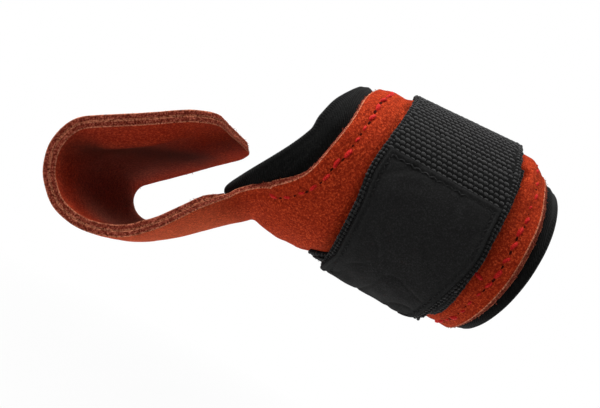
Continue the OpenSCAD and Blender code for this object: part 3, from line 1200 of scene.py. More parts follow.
    def point(self, station: Array, side: Array, lift: float) -> Array:
        """Place on the worn sheet, seated on the panel at the neck and a little uneven past it.

        Args:
            station: Stations along the flap.
            side: Sides across the flap.
            lift: Distance from the middle of the sheet, outward.

        Returns:
            The points.
        """
        past_neck = smooth(station * self.run_end / self.seat_length)
        seat = (self.neck_gap + self.cuff.bond / 2.0) * (1.0 - past_neck)
        middle = self.bare_point(station, side, np.zeros_like(station))
        wave = self.slow_wave * ripple(middle, wavelength=38.0, seed=5)
        wave = wave + self.quick_wave * ripple(middle, wavelength=11.0, seed=6)
        ridge = hump(side, self.tip_fold_side, 0.11) - 0.4 * hump(side, 0.5, 0.16)
        fold = self.tip_fold * ridge * rise(station, 1.65, 0.5) * fall(station, 2.35, 0.5)
        fold = fold + self.bottom_tuck * (1.0 - 0.6 * side) * hump(station, 1.12, 0.2)
        fold = fold - self.far_sag * side * side * hump(station, 0.72, 0.26)
        return self.settle(self.bare_point(station, side, lift - seat + past_neck * wave - fold))

    def settle(self, points: Array) -> Array:
        """Draws the shoulders of the neck down, because stiff leather bends in a wide curve.

        Args:
            points: Points of the suede or of what lies on it.

        Returns:
            The points where they settle.
        """
        x, y, z = points[..., 0], points[..., 1], points[..., 2]
        around = np.arctan2(y, -z)
        turn = math.radians(self.shoulder_turn) * hump(x, self.shoulder_x, self.shoulder_reach)
        turn = -np.sign(around) * turn * rise(np.abs(around), 0.3, 0.5)
        heel = self.heel_bulge * hump(x, self.heel_x, self.heel_reach) * np.maximum(0.0, np.cos(around))
        heel = np.where(z < 0.0, heel, 0.0)
        return coords(x, y * np.cos(turn) - z * np.sin(turn), z * np.cos(turn) + y * np.sin(turn) - heel)

    def inner_marks(self, station: Array, side: Array) -> dict[str, Array]:
        """Rub with painted shade in the hollow of the curl, and painted shade in the trough beside it.

        Args:
            station: Stations along the flap.
            side: Sides across the flap.

        Returns:
            The rub with painted shade and the painted shade of each place, from 0 to 1.
        """
        # Rub with painted shade in the hollow of the curl, little at the near edge and little toward the far
        # edge further along.
        hollow = rise(station, 0.75, 0.5) * fall(station, 1.9, 0.9)
        far_edge = mix(1.0, smooth((1.0 - side) / 0.35), rise(station, 1.55, 0.3))
        wear_and_painted_light = hollow * mix(0.06, 0.7, rise(side, 0.12, 0.36) * far_edge)
        # Painted shade along a trough that slants across the inside of the end.
        aside = side - 0.2 - 0.66 * (station - 1.83)
        trough = hump(aside, 0.0, np.where(aside > 0.0, 0.23, 0.14))
        painted_shade = trough * rise(station, 1.55, 0.3) * fall(station, 2.5, 0.4)
        return {"wear_and_painted_light": wear_and_painted_light.ravel(), "painted_shade": 0.85 * painted_shade.ravel()}

    def outer_marks(self, station: Array, side: Array) -> dict[str, Array]:
        """How far the outer face of the flap is rubbed smooth and pale, partly painted light on the flap's
        underside, from 0 to 1.
        """
        # Paler toward the far side along the run: rub and painted light.
        run = smooth(station / 0.55) * fall(station, 1.25, 0.6)
        return {"wear_and_painted_light": (0.75 * run * smooth(0.5 + side)).ravel()}

    def seam_place(self, station: float, side: float) -> tuple[Array, Array]:
        """Middle of the sheet at one place, and the unit direction along the sheet there."""
        x, z = self.forward(self.heading(np.array(station), np.array(side)))
        return self.bare_point(np.array(station), np.array(side), np.array(0.0)), np.array([x, 0.0, z])


@dataclass(frozen=True)
class Zone:
    """The stretch in which a piece turns from one body to the next.

    Attributes:
        first: Body before the stretch.
        second: Body after the stretch.
        start: Where the turn starts.
        end: Where the turn ends.
    """
    first: str
    second: str
    start: Array
    end: Array

    def carry(self, piece: Object) -> None:
        """Bakes a finished piece's placement into its mesh."""
        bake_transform(piece)


@dataclass
class Leather:
    """The suede: a wrist panel that runs on as the outer ply of the flap, and an inner ply.

    Attributes:
        cuff: Form of the cuff's layers.
        flap: Form of the flap.
        swell: How the panel bulges over the pad.
        pitch: Distance between two mesh points.
        edge: How far the cut edge stands out of the skins.
        front_seam, rear_seam: Distance from both edges to their seams.
        stitch_pitch: Distance between two stitches.
        stitch_stray: How far single stitches stray.
        stitch_slant, slant_stray: Usual turn of a stitch out of its seam, in degrees, and its stray.
        seam_clear: Angle between a seam's start and the end of the panel.
        seam_run_on, seam_drift: How far the front seams run on onto the flap and come together.
        groove_depth, groove_width: How far a seam pulls the leather in, and how far from it.
        pillow: How far the leather swells beside a seam.
        cross_angle: Angle from the underside to the two short cross seams.
        cross_seam: How far in from the rear seam a cross seam starts and ends.
        slow_wave, quick_wave: Unevenness of the panel.
        bevel: How far the back of the leather stands out past its face at the slanted rear cut.
        front_bevel: Share of that by which it stands back at the front cut.
        bevel_reach: Distance over which both die away.
        neck_bevel, neck_bevel_reach: The same at the corners of the neck, and how far from them.
        run_seam, curl_seam: Stations at which the first and second stretch of a ply end.
        skived, skive_length: Thickness to which the inner ply is pared at its start, and over what length.
        fuzz_per_mm, fuzz_seed: Loose fibres on a millimetre of cut edge, and the first seed of their places.
        bend_half: Half the length over which the flap bends at a fold.
        neck_bend: Where the bend at the neck starts and ends, past the neck along the cuff.
    """
    cuff: CuffForm
    flap: FlapForm
    swell: Swell
    pitch: float = 1.0
    edge: float = 0.3
    front_seam: float = 6.0
    rear_seam: float = 5.0
    stitch_pitch: float = 5.9
    stitch_stray: float = 0.36
    stitch_slant: float = 14.0
    slant_stray: float = 18.0
    seam_clear: float = 4.0
    seam_run_on: float = 6.5
    seam_drift: float = 0.5
    groove_depth: float = 0.5
    groove_width: float = 1.2
    pillow: float = 0.14
    cross_angle: float = 70.0
    cross_seam: tuple[float, float] = (2.0, 15.0)
    slow_wave: float = 0.1
    quick_wave: float = 0.05
    bevel: float = 2.5
    front_bevel: float = 0.28
    bevel_reach: float = 0.8
    neck_bevel: float = 1.6
    neck_bevel_reach: float = 11.0
    run_seam: float = 0.8
    curl_seam: float = 1.43
    skived: float = 0.5
    skive_length: float = 9.0
    fuzz_per_mm: float = 1.6
    fuzz_seed: int = 40
    bend_half: float = 8.0
    neck_bend: tuple[float, float] = (3.0, -20.0)

    def rim(self, seed: int) -> Rim:
        """Rough cut edge of one ply."""
        return Rim(depth=self.edge, power=3.0, steps=7, rough=0.09, seed=seed)

    def seam_lines(self) -> list[Array]:
        """Seams of the panel as flat lines of place along the cuff and length round the cuff.

        Returns:
            One line for each seam.
        """
        cuff, radius, step = self.cuff, self.cuff.leather_outer, 0.5
        first = cuff.end_angle(cuff.pad_gap / 2.0 + cuff.panel_end_inset, radius) + self.seam_clear
        last = UNDER - self.flap.neck_angle - 1.0
        lines = []
        for mirrored in (1.0, -1.0):
            angle = steps_between(first, last, step)
            edge = coords(cuff.panel_front(angle), np.radians(angle - UNDER) * radius)
            way = directions(edge)
            inset = edge + self.front_seam * coords(way[:, 1], -way[:, 0])
            run_on = inset[-1:] + np.array([[-self.seam_run_on, self.seam_drift]])
            lines.append(np.concatenate([inset, run_on]) * np.array([1.0, mirrored]))
        angle = steps_between(first, 2.0 * UNDER - first, step)
        lines.append(coords(cuff.panel_rear(angle) - self.rear_seam, np.radians(angle - UNDER) * radius))
        x = cuff.panel_rear(np.array(UNDER + self.cross_angle)) - self.rear_seam
        for mirrored in (1.0, -1.0):
            at = np.radians(self.cross_angle) * radius * mirrored
            lines.append(np.array([[x - inward, at] for inward in self.cross_seam]))
        return lines

    def groove(self, flat: Array) -> Array:
        """How far the seams pull the leather in.

        Args:
            flat: Flat places on the panel or on the flap's neck.

        Returns:
            The depth at each place.
        """
        nearest = np.full(flat.shape[:-1], np.inf)
        for line in self.seam_lines():
            for mark in resample(line, 1.0):
                nearest = np.minimum(nearest, np.linalg.norm(flat - mark, axis=-1))
        pulled = self.groove_depth * hump(nearest, 0.0, self.groove_width)
        return pulled - self.pillow * hump(nearest, 3.2, 1.6)

    def columns(self) -> tuple[Array, Array]:
        """Columns of points on the panel.

        Returns:
            Their angles, and the numbers of those that run on into the flap.
        """
        cuff = self.cuff
        margin = math.degrees(self.edge / cuff.leather_middle)
        start = cuff.end_angle(cuff.pad_gap / 2.0 + cuff.panel_end_inset, cuff.leather_middle) + margin
        turn = math.degrees(self.pitch / cuff.leather_middle)
        neck = self.flap.neck_angle - margin
        wing = steps_between(start, UNDER - neck, turn)
        middle = steps_between(UNDER - neck, UNDER + neck, turn)
        tongue = np.arange(len(wing) - 1, len(wing) - 1 + len(middle))
        return np.concatenate([wing[:-1], middle, (2.0 * UNDER - wing)[::-1][1:]]), tongue

    def panel_skins(self, angle: Array, tongue: Array) -> tuple[Array, Array, Array]:
        """Skins of the panel, in rows from its rear edge to its front edge.

        Args:
            angle: Angles of the columns.
            tongue: Numbers of the columns that run on into the flap.

        Returns:
            The inner skin, the outer skin and the flat places.
        """
        cuff, flap = self.cuff, self.flap
        front = np.maximum(flap.neck_x, cuff.panel_front(angle) + self.edge)
        front[tongue] = flap.neck_x
        rear = cuff.panel_rear(angle) - self.edge
        share = np.linspace(0.0, 1.0, round((rear - front).max() / self.pitch) + 1)[:, None]
        x = mix(rear, front, share)
        flat = coords(x, np.radians(angle - UNDER) * cuff.leather_outer)
        base = ring(x, angle, cuff.leather_middle)
        uneven = self.slow_wave * ripple(base, wavelength=9.0, seed=7)
        uneven = uneven + self.quick_wave * ripple(base, wavelength=3.5, seed=8)
        uneven = rise(np.abs(x), 27.0, 6.0) * uneven - self.groove(flat)
        bulge = self.swell.at(x, angle)
        front_cut = self.front_bevel * rise(np.abs(angle - UNDER), flap.neck_angle, 14.0)
        front_cut = front_cut * np.exp(-(x - front) / self.bevel_reach)
        slant = self.bevel * (np.exp(-(rear - x) / self.bevel_reach) - front_cut)
        slant[:, tongue] = np.maximum(0.0, slant[:, tongue])
        low = flap.settle(ring(x + slant, angle, cuff.leather_inner + bulge))
        return low, flap.settle(ring(x, angle, cuff.leather_outer + bulge + uneven)), flat

    def neck_skins(self, turn: Array) -> tuple[Array, Array, Array, Array]:
        """Skins of the panel where it runs on as the start of the flap.

        Args:
            turn: Angles of the columns from the underside.

        Returns:
            The inner skin, the outer skin, the flat places and the rub with painted light.
        """
        cuff, flap = self.cuff, self.flap
        station = steps_between(0.0, self.run_seam, self.pitch / flap.run_end)[1:, None]
        station, side = np.broadcast_arrays(station, turn / flap.neck_angle / 2.0 + 0.5)
        x = flap.neck_x - station * flap.run_end
        round_cuff = np.radians((side - 0.5) * 2.0 * flap.neck_angle) * cuff.leather_outer
        lift = cuff.leather + cuff.bond / 2.0 - self.groove(coords(x, round_cuff))
        return (flap.point(station, side, cuff.bond / 2.0), flap.point(station, side, lift),
                coords(x, (side - 0.5) * flap.width), flap.outer_marks(station, side)["wear_and_painted_light"])

    def wrist_sheet(self) -> Sheet:
        """Panel round the cuff, running on to the middle of the flap's run.

        Returns:
            The sheet, joined on its last row to the next stretch.
        """
        angle, tongue = self.columns()
        panel = self.panel_skins(angle, tongue)
        *neck, wear_and_painted_light = self.neck_skins(angle[tongue] - UNDER)
        rows, columns = panel[0].shape[:2]
        count, size = rows * columns, neck[0].shape[:2]
        last_row = (rows - 1) * columns + tongue
        numbers = np.concatenate([last_row[None], count + np.arange(math.prod(size)).reshape(size)])
        quads = np.concatenate([grid_quads(rows, columns), numbers.ravel()[grid_quads(*numbers.shape)]])
        low, high, uv = (np.concatenate([a.reshape(count, -1), b.reshape(math.prod(size), -1)])
                         for a, b in zip(panel, neck))
        sheet = Sheet(low, high, quads, uv, self.rim(11), np.isin(np.arange(len(low)), numbers[-1]),
                      {"wear_and_painted_light": np.concatenate([np.zeros(count), wear_and_painted_light])})
        loop = sheet.border()
        corners = ring(self.flap.neck_x, angle[tongue[[0, -1]]], self.cuff.leather_middle)
        away = np.linalg.norm(sheet.low[loop][:, None] - corners, axis=-1).min(axis=1)
        slant = self.neck_bevel * hump(away, 0.0, self.neck_bevel_reach)
        sheet.low[loop] += sheet.outward(loop) * slant[:, None]
        return sheet

    def flap_sheet(self, first: float, last: float, low: float, high: float, open_start: bool,
                   seed: int) -> Sheet:
        """One stretch of one ply of the flap.

        Args:
            first: Station at which it starts.
            last: Station at which it ends.
            low: Lift of its inner face.
            high: Lift of its outer face.
            open_start: Whether it starts with a cut edge.
            seed: Seed of the rough edge.

        Returns:
            The sheet, joined where it meets the next stretch.
        """
        flap = self.flap
        margin = self.edge / flap.width
        even = np.linspace(0.0, 1.0, round(flap.width / self.pitch) + 1)
        side = mix(margin, 1.0 - margin, (even + (1.0 - np.cos(math.pi * even)) / 2.0) / 2.0)
        close = 0.002
        parts = [np.array([first, last])]
        for start, length in enumerate((flap.run_end, math.pi * flap.near_radius, flap.far_tip)):
            inside = steps_between(start, start + 1.0, self.pitch / length)
            parts.append(inside[(inside > first + 4 * close) & (inside < last - 4 * close)])
        parts.append(np.array([first + close, last - close]))
        station = np.unique(np.concatenate(parts))[:, None]
        station, side = np.broadcast_arrays(station, side)
        uv = coords(flap.neck_x - station * flap.run_end, (side - 0.5) * flap.width)
        joined = np.zeros(station.shape, dtype=bool)
        joined[0] = not open_start
        joined[-1] = last < 3.0
        if open_start:
            low = mix(high - self.skived, low, smooth((station - first) * flap.run_end / self.skive_length))
        return Sheet(flap.point(station, side, low).reshape(-1, 3),
                     flap.point(station, side, high).reshape(-1, 3),
                     grid_quads(*station.shape), uv.reshape(-1, 2), self.rim(seed), joined.ravel(),
                     (flap.outer_marks if high > 0.0 else flap.inner_marks)(station, side))

    def fuzz(self, sheet: Sheet, seed: int) -> Seeds:
        """Loose fibres along the cut edge of a sheet.

        Args:
            sheet: The sheet whose edge is fuzzy.
            seed: Seed of the places and directions.

        Returns:
            Where the fibres grow.
        """
        rng = np.random.default_rng(seed)
        loop = sheet.border()
        out = sheet.outward(loop)
        free = np.linalg.norm(out, axis=1) > 0.5
        ahead = np.roll(sheet.high[loop], -1, axis=0) - sheet.high[loop]
        chance = free * np.linalg.norm(ahead, axis=1)
        count = int(chance.sum() * self.fuzz_per_mm)
        pick = rng.choice(len(loop), size=count, p=chance / chance.sum())
        share = rng.uniform(0.0, 1.0, size=(count, 1))
        root = mix(sheet.low[loop][pick], sheet.high[loop][pick], share)
        root = root + ahead[pick] * rng.uniform(0.0, 1.0, size=(count, 1)) + out[pick] * self.edge * 0.6
        up = unit(out[pick] + 0.8 * rng.normal(size=(count, 3)))
        along = unit(rng.normal(size=(count, 3)))
        size = np.repeat(rng.uniform(0.4, 1.2, size=(count, 1)), 3, axis=1)
        return Seeds(root, along, up, size)

    def on_face(self, place: Array, lift: float) -> tuple[Array, Array]:
        """Lays flat places on the outer face of the panel and of the flap's neck.

        Args:
            place: Flat places.
            lift: Distance from the face.

        Returns:
            The points, and the way out of the leather at each.
        """
        cuff, flap = self.cuff, self.flap
        x, turn = place[:, 0], np.degrees(place[:, 1] / cuff.leather_outer)
        angle = UNDER + turn
        panel = flap.settle(ring(x, angle, cuff.leather_outer + lift + self.swell.at(x, angle)))
        station = np.maximum(0.0, (flap.neck_x - x) / flap.run_end)
        side = np.clip(turn / flap.neck_angle / 2.0 + 0.5, 0.0, 1.0)
        face = cuff.bond / 2.0 + cuff.leather + lift
        neck, above = flap.point(station, side, face), flap.point(station, side, face + 1.0)
        beyond = (x < flap.neck_x)[:, None]
        return np.where(beyond, neck, panel), np.where(beyond, unit(above - neck), ring(0.0, angle, 1.0))

    def stitches(self) -> tuple[Seeds, Seeds]:
        """Thread and needle holes of the panel seams.

        Returns:
            Where the stitches lie and where the needle went through.
        """
        threads, holes = [], []
        rng = np.random.default_rng(19)
        for line in self.seam_lines():
            flat = resample(line, self.stitch_pitch)
            way = directions(flat) if len(flat) > 1 else unit(np.diff(line, axis=0))
            flat = flat + rng.normal(scale=self.stitch_stray, size=flat.shape)
            slant = np.radians(rng.normal(self.stitch_slant, self.slant_stray, size=len(flat)))
            turned = coords(way[:, 0] * np.cos(slant) - way[:, 1] * np.sin(slant),
                            way[:, 0] * np.sin(slant) + way[:, 1] * np.cos(slant))
            for seeds, place, course, lift in ((threads, flat, turned, 0.1),
                                               (holes, flat + way * self.stitch_pitch / 2.0, way, 0.02)):
                spots, up = self.on_face(place, lift - self.groove_depth)
                ahead, behind = (self.on_face(place + half * course, lift)[0] for half in (0.5, -0.5))
                seeds.append(Seeds(spots, unit(ahead - behind), up, np.ones((len(place), 3))))
        return Seeds.joined(threads), Seeds.joined(holes)

    def zone(self, station: float, first: str, second: str) -> Zone:
        """The stretch of the flap that bends at a fold line.

        Args:
            station: Station of the fold line.
            first: Body before the fold.
            second: Body after the fold.

        Returns:
            The zone, square to the fold line.
        """
        middle, way = self.flap.seam_place(station, 0.5)
        near, far = self.flap.seam_place(station, 0.0)[0], self.flap.seam_place(station, 1.0)[0]
        axis = unit(far - near)
        square = unit(way - (way @ axis) * axis)
        return Zone(first, second, middle - square * self.bend_half, middle + square * self.bend_half)

    def build(self) -> None:
        """Makes every suede piece, its edge fibres and its seams."""
        cuff, flap = self.cuff, self.flap
        skin, lined, edge = SUEDE.material(), LINED_SUEDE.material(), CUT_EDGE.material()
        low, high = cuff.bond / 2.0, cuff.bond / 2.0 + cuff.leather
        start, end = (np.array([flap.neck_x + past, 0.0, -flap.neck_radius]) for past in self.neck_bend)
        neck_zone = Zone("cuff", "flap_base", start, end)
        lower = self.zone(flap.lower_fold, "flap_base", "flap_curl")
        upper = self.zone(flap.upper_fold, "flap_curl", "flap_tip")
        base, curl, tip = flap.inner_start / flap.run_end, self.run_seam, self.curl_seam
        plies = [
            ("suede_wrist", self.wrist_sheet(), skin, neck_zone,
             ("wrist_panel", "base_outer_ply"), (225.0, 135.0)),
            ("suede_outer_curl", self.flap_sheet(curl, tip, low, high, False, 12), skin, lower,
             ("curl_outer_ply",), (72.0, 48.0)),
            ("suede_outer_tip", self.flap_sheet(tip, 3.0, low, high, False, 13), skin, upper,
             ("tip_outer_ply",), (72.0, 100.0)),
            ("suede_inner_base", self.flap_sheet(base, curl, -high, -low, True, 14), lined, neck_zone,
             ("base_inner_ply",), (72.0, 32.0)),
            ("suede_inner_curl", self.flap_sheet(curl, tip, -high, -low, False, 15), lined, lower,
             ("curl_inner_ply",), (72.0, 44.0)),
            ("suede_inner_tip", self.flap_sheet(tip, 3.0, -high, -low, False, 16), lined, upper,
             ("tip_inner_ply",), (72.0, 92.0)),
        ]
        fibre = Scatter(Motif.HOOK, length=0.3, width=0.1, height=0.42, drop=0.1, spread=0.45)
        for seed, (name, sheet, material, zone, nodes, flat) in enumerate(plies, self.fuzz_seed):
            piece = sheet.build(name, material, edge)
            zone.carry(piece)
            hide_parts(*nodes)
            roots = self.fuzz(sheet, seed)
            hair = fibre.build(f"{name}_fuzz", roots, FUZZ.material())
            zone.carry(hair)
            min(sheet.area(), flat[0] * flat[1] * MM * MM)
            LOG.info("%s: %d faces, %d cm2", name, len(piece.data.polygons), round(sheet.area() * CM2_PER_M2))
            LOG.info("%s: %d copies", hair.name, len(roots.points))
        threads, holes = self.stitches()
        stitch = Scatter(Motif.ARCH, length=2.9, width=1.4, height=0.22, drop=0.65, spread=0.4)
        needle = Scatter(Motif.BEAD, length=1.7, width=1.05, height=0.45, spread=0.35)
        for name, tool, seeds, finish in (("wrist_seam_thread", stitch, threads, THREAD),
                                          ("wrist_seam_holes", needle, holes, HOLE)):
            piece = tool.build(name, seeds, finish.material())
            neck_zone.carry(piece)
            LOG.info("%s: %d copies", name, len(seeds.points))


@dataclass
class WristPad:
    """The soft pad under the leather: foam in a jersey cover, with a knit lining.

    Attributes:
        cuff: Form of the cuff's layers.
        flap: Form of the flap.
        swell: How the panel bulges over the pad.
        pitch: Distance between two mesh points.
        puff: How far the pad swells where the leather doesn't press on it.
        lining_inset: How far the lining stops short of the pad edge.
        lip: How far the front edge of the pad bulges on both sides.
        rear_lip: How far its rear edge does.
    """
    cuff: CuffForm
    flap: FlapForm
    swell: Swell
    pitch: float = 1.25
    puff: float = 1.3
    lining_inset: float = 2.6
    lip: float = 1.6
    rear_lip: float = 0.8

    def layer(self, inner: float, outer: float, inset: float, rim: Rim, puff: float) -> Sheet:
        """One layer of the pad.

        Args:
            inner: Radius of its inner face.
            outer: Radius of its outer face.
            inset: How far its skins stop short of the pad outline.
            rim: Finish of its edge.
            puff: How far its outer face swells past the leather.

        Returns:
            The sheet.
        """
        cuff = self.cuff
        start = cuff.end_angle(cuff.pad_gap / 2.0 + inset, outer)
        angle = steps_between(start, 2.0 * UNDER - start, math.degrees(self.pitch / outer))
        from_under = np.abs(angle - UNDER)
        lip = self.lip * (rise(from_under, 98.0, 14.0) + hump(from_under, 128.0, 18.0))
        front = cuff.pad_front(angle) + inset - lip
        rear = cuff.pad_rear(angle) - inset + self.rear_lip * hump(from_under, 115.0, 30.0)
        share = np.linspace(0.0, 1.0, round((rear - front).max() / self.pitch) + 1)[:, None]
        x = mix(rear, front, share)
        leather_front = np.maximum(self.flap.neck_x, cuff.panel_front(angle))
        beyond = np.maximum(leather_front - x, x - cuff.panel_rear(angle))
        to_edge = np.minimum(x - front, rear - x)
        swell = puff * rise(beyond, 1.0, 4.0) * smooth(0.35 + to_edge / 4.0)
        uneven = ripple(ring(x, angle, outer), wavelength=16.0, seed=9)
        swell = swell + 0.12 * puff * uneven * smooth(beyond / 4.0)
        if puff:
            swell = swell + self.swell.at(x, angle) * mix(0.25, 1.0, smooth(to_edge / 7.0))
        flat = coords(x, np.radians(angle - UNDER) * outer)
        return Sheet(ring(x, angle, inner).reshape(-1, 3), ring(x, angle, outer + swell).reshape(-1, 3),
                     grid_quads(*x.shape), flat.reshape(-1, 2), rim)

    def build(self) -> None:
        """Makes the pad and its lining."""
        cuff = self.cuff
        outer = cuff.pad_outer - cuff.bond / 2.0
        half = (outer - cuff.lining_outer - cuff.bond) / 2.0
        pad = self.layer(cuff.lining_outer + cuff.bond, outer, half, Rim(depth=half, steps=10), self.puff)
        piece = pad.build("wrist_pad", JERSEY.material(), JERSEY.material())
        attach(piece, "cuff")
        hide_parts("pad_foam", "pad_cover")
        LOG.info("wrist_pad: %d faces", len(piece.data.polygons))
        knit = self.layer(cuff.wrist_radius, cuff.lining_outer, self.lining_inset,
                          Rim(depth=0.4, steps=4), 0.0)
        piece = knit.build("pad_lining_knit", LINING.material(), LINING.material())
        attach(piece, "cuff")
        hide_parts("pad_lining")
        knit.area()
        LOG.info("pad_lining_knit: %d faces", len(piece.data.polygons))


@dataclass
class Strap:
    """The webbing strap with its tapes, its bare end patch and its weave.

    Attributes:
        form: Path and sizes.
        pitch: Distance between two mesh points.
        float_pitch: Distance between two yarn floats across the strap.
        row_pitch: Distance between two rows of floats.
        float_height: Height of a float.
        float_proud: Share of that which stands out of the webbing.
        selvedge, cord_room: Distance between two floats of an edge cord, and the width of the cords.
        seam_angle: Angle at which the wrapped part and the tail part of the mesh meet.
        bend: Where the tail's bend starts and ends, in degrees past its hinge.
        backing: Share of a tape's thickness under its pile.
        stitch_pitch, stitch_slant: Distance between the patch's stitches, and the turn of their zigzag.
        patch_rim: How far the patch's rim stands out past its skins.
        hem_height, hem_width: Height and half the width of the patch's turned edge.
        seam_inset, seam_depth: Distance from the patch's edge to its seam, and how far that is pulled in.
        tape_show: Angle by which the hook tape shows past the tail.
        wrinkle_depth: Depth of the patch's wrinkles.
    """
    form: StrapForm
    pitch: float = 1.2
    float_pitch: float = 2.27
    row_pitch: float = 1.85
    float_height: float = 0.78
    float_proud: float = 0.4
    selvedge: float = 1.5
    cord_room: float = 3.0
    seam_angle: float = 500.0
    bend: tuple[float, float] = (-9.0, 7.0)
    backing: float = 0.6
    stitch_pitch: float = 1.7
    stitch_slant: float = 32.0
    patch_rim: float = 0.5
    hem_height: float = 0.3
    hem_width: float = 0.7
    seam_inset: float = 1.9
    seam_depth: float = 0.35
    tape_show: float = 2.2
    wrinkle_depth: float = 0.34

    def band(self, first: float, last: float, low: float, high: float, inset: float, rim: Rim,
             corners: tuple[float, float] = (0.0, 0.0), joined: tuple[bool, bool] = (False, False),
             wave: float = 0.0, hem: float = 0.0, fine: float = 1.0, hemmed: bool = False) -> Sheet:
        """One layer of the strap between two angles.

        Args:
            first: Angle at which it starts.
            last: Angle at which it ends.
            low: Lift of its inner face.
            high: Lift of its outer face.
            inset: How far its edges are drawn in.
            rim: Finish of its edge.
            corners: Radii of its last corner on the front side and on the rear side.
            joined: Whether its first and last edge meet another stretch.
            wave: Height of the unevenness of its outer face.
            hem: How far its front edge runs out toward the strap edge at its end.
            fine: How many times finer its mesh is than the rest of the strap.
            hemmed: Whether its edge is turned under and sewn down.

        Returns:
            The sheet.
        """
        form = self.form
        trim = math.degrees(rim.depth / (form.inner + high))
        first, last = first + (0.0 if joined[0] else trim), last - (0.0 if joined[1] else trim)
        angle = steps_between(first, last, math.degrees(self.pitch / fine / form.inner))
        if max(corners):
            turn = math.degrees(max(corners) / form.inner)
            closer = last - turn * (1.0 - np.sin(np.linspace(0.0, math.pi / 2.0, 10)))
            angle = np.unique(np.concatenate([angle[angle < last - turn], closer]))
        front, rear = form.edges(angle, inset + rim.depth)
        front = front + self.rounding(angle, last, corners[0]) - hem * rise(angle, last - 22.0, 18.0)
        rear = rear - self.rounding(angle, last, corners[1])
        share = np.linspace(0.0, 1.0, round(form.width * fine / self.pitch) + 1)[:, None]
        x = mix(rear, front, share)
        raised = form.raised(x, angle)
        middle = ring(x, angle, form.radius(angle, high) + raised)
        to_side = np.minimum(x - front, rear - x)
        fade = smooth(to_side / 6.0)
        uneven = ripple(middle, wavelength=26.0, seed=21) + 0.4 * ripple(middle, wavelength=9.0, seed=22)
        lift = high + wave * fade * uneven
        if hemmed:
            near = np.minimum(to_side, np.radians(angle - first) * form.inner)
            lift = lift - self.wrinkle_depth * fade * hump(ripple(middle, wavelength=24.0, seed=24), 0.0, 0.1)
            lift = lift + self.hem_height * hump(near, self.hem_width, self.hem_width)
            lift = lift - self.seam_depth * hump(near, self.seam_inset, 0.6)
        flat = coords(x, np.radians(angle) * (form.inner + form.tail_lift))
        edge = np.zeros(x.shape, dtype=bool)
        edge[:, 0], edge[:, -1] = joined
        return Sheet(ring(x, angle, form.radius(angle, low) + raised).reshape(-1, 3),
                     ring(x, angle, form.radius(angle, lift) + raised).reshape(-1, 3),
                     grid_quads(*x.shape), flat.reshape(-1, 2), rim, edge.ravel())

    def rounding(self, angle: Array, last: float, corner: float) -> Array:
        """How far a rounded corner draws an edge in at each angle.

        Args:
            angle: Angles round the cuff.
            last: Angle at which the strap layer ends.
            corner: Radius of the corner.

        Returns:
            The distance at each angle.
        """
        turn = math.degrees(corner / self.form.inner)
        e = np.clip((angle - last + turn) / max(turn, 1e-6), 0.0, 1.0)
        return corner * (1.0 - np.sqrt(np.maximum(0.0, 1.0 - e * e)))

    def frames(self, x: Array, angle: Array, lift: float, slant: Real = 0.0) -> Seeds:
        """Seeds on the strap, with their length across the strap.

        Args:
            x: Places across the strap.
            angle: Angles round the cuff.
            lift: Lift above the inner face of the webbing.
            slant: Turn of each copy about the face, in degrees.

        Returns:
            The seeds at full size.
        """
        x, angle, slant = np.broadcast_arrays(x, angle, np.radians(slant))
        up = ring(0.0, angle, 1.0)
        around = np.cross(np.array([1.0, 0.0, 0.0]), up)
        along = np.cos(slant)[:, None] * np.array([1.0, 0.0, 0.0]) + np.sin(slant)[:, None] * around
        radius = self.form.radius(angle, lift) + self.form.raised(x, angle)
        return Seeds(ring(x, angle, radius), along, up, np.ones((len(x), 3)))

    def weave(self, first: float, last: float, bare_from: float, cords_from: float) -> Seeds:
        """Yarn floats and edge cords of the webbing between two angles.

        Args:
            first: Angle of the first row.
            last: Angle of the last row.
            bare_from: Angle from which the patch covers the middle.
            cords_from: Angle at which the edge cords start.

        Returns:
            Where the floats lie.
        """
        form, rng = self.form, np.random.default_rng(31)
        turn = math.degrees(self.row_pitch / (form.inner + form.webbing))
        parts = []
        rows = np.arange(math.ceil((first - self.seam_angle) / turn),
                         math.ceil((min(last, bare_from) - self.seam_angle) / turn))
        for row in rows:
            angle = self.seam_angle + row * turn
            front, rear = (float(v) for v in form.edges(np.array(angle), self.cord_room))
            x = np.arange(front + (row % 2) * self.float_pitch / 2.0, rear, self.float_pitch)
            seeds = self.frames(x + rng.normal(scale=0.06, size=len(x)), np.full(len(x), angle),
                                form.webbing - self.float_height / 2.0, rng.normal(8.0, 4.0, size=len(x)))
            parts.append(seeds)
        turn = math.degrees(self.selvedge / (form.inner + form.webbing))
        angle = np.arange(cords_from, last, turn)
        for inset, slant, lift, size in ((0.55, 38.0, 0.55, (0.55, 0.95, 2.2)),
                                         (1.75, -32.0, 0.8, (0.62, 0.95, 1.1))):
            front, rear = form.edges(angle, inset)
            for x, turned in ((front, slant), (rear, -slant)):
                seeds = self.frames(x + rng.normal(scale=0.08, size=len(x)), angle, form.webbing * lift,
                                    turned + rng.normal(scale=8.0, size=len(x)))
                seeds.size[:] = np.array(size) * rng.uniform(0.8, 1.1, size=(len(x), 1))
                parts.append(seeds)
        return Seeds.joined(parts)

    def carpet(self, first: float, last: float, inset: float, lift: float, pitch: float,
               facing: float) -> Seeds:
        """Pile of a tape.

        Args:
            first: Angle of the first row.
            last: Angle of the last row.
            inset: How far the pile stops short of the strap edge.
            lift: Lift of the face that carries the pile.
            pitch: Distance between two rows.
            facing: 1 for pile that points outward and -1 for pile that points inward.

        Returns:
            Where the pile grows.
        """
        form, rng = self.form, np.random.default_rng(33)
        parts = []
        for angle in np.arange(first, last, math.degrees(pitch / form.inner)):
            front, rear = (float(v) for v in form.edges(np.array(angle), inset))
            x = np.arange(front, rear, pitch) + rng.uniform(0.0, pitch)
            x = x[x < rear]
            angles = angle + rng.normal(scale=0.35, size=len(x))
            seeds = self.frames(x, angles, lift, rng.uniform(0.0, FULL_TURN, size=len(x)))
            seeds.up = seeds.up * facing
            parts.append(seeds)
        return Seeds.joined(parts)

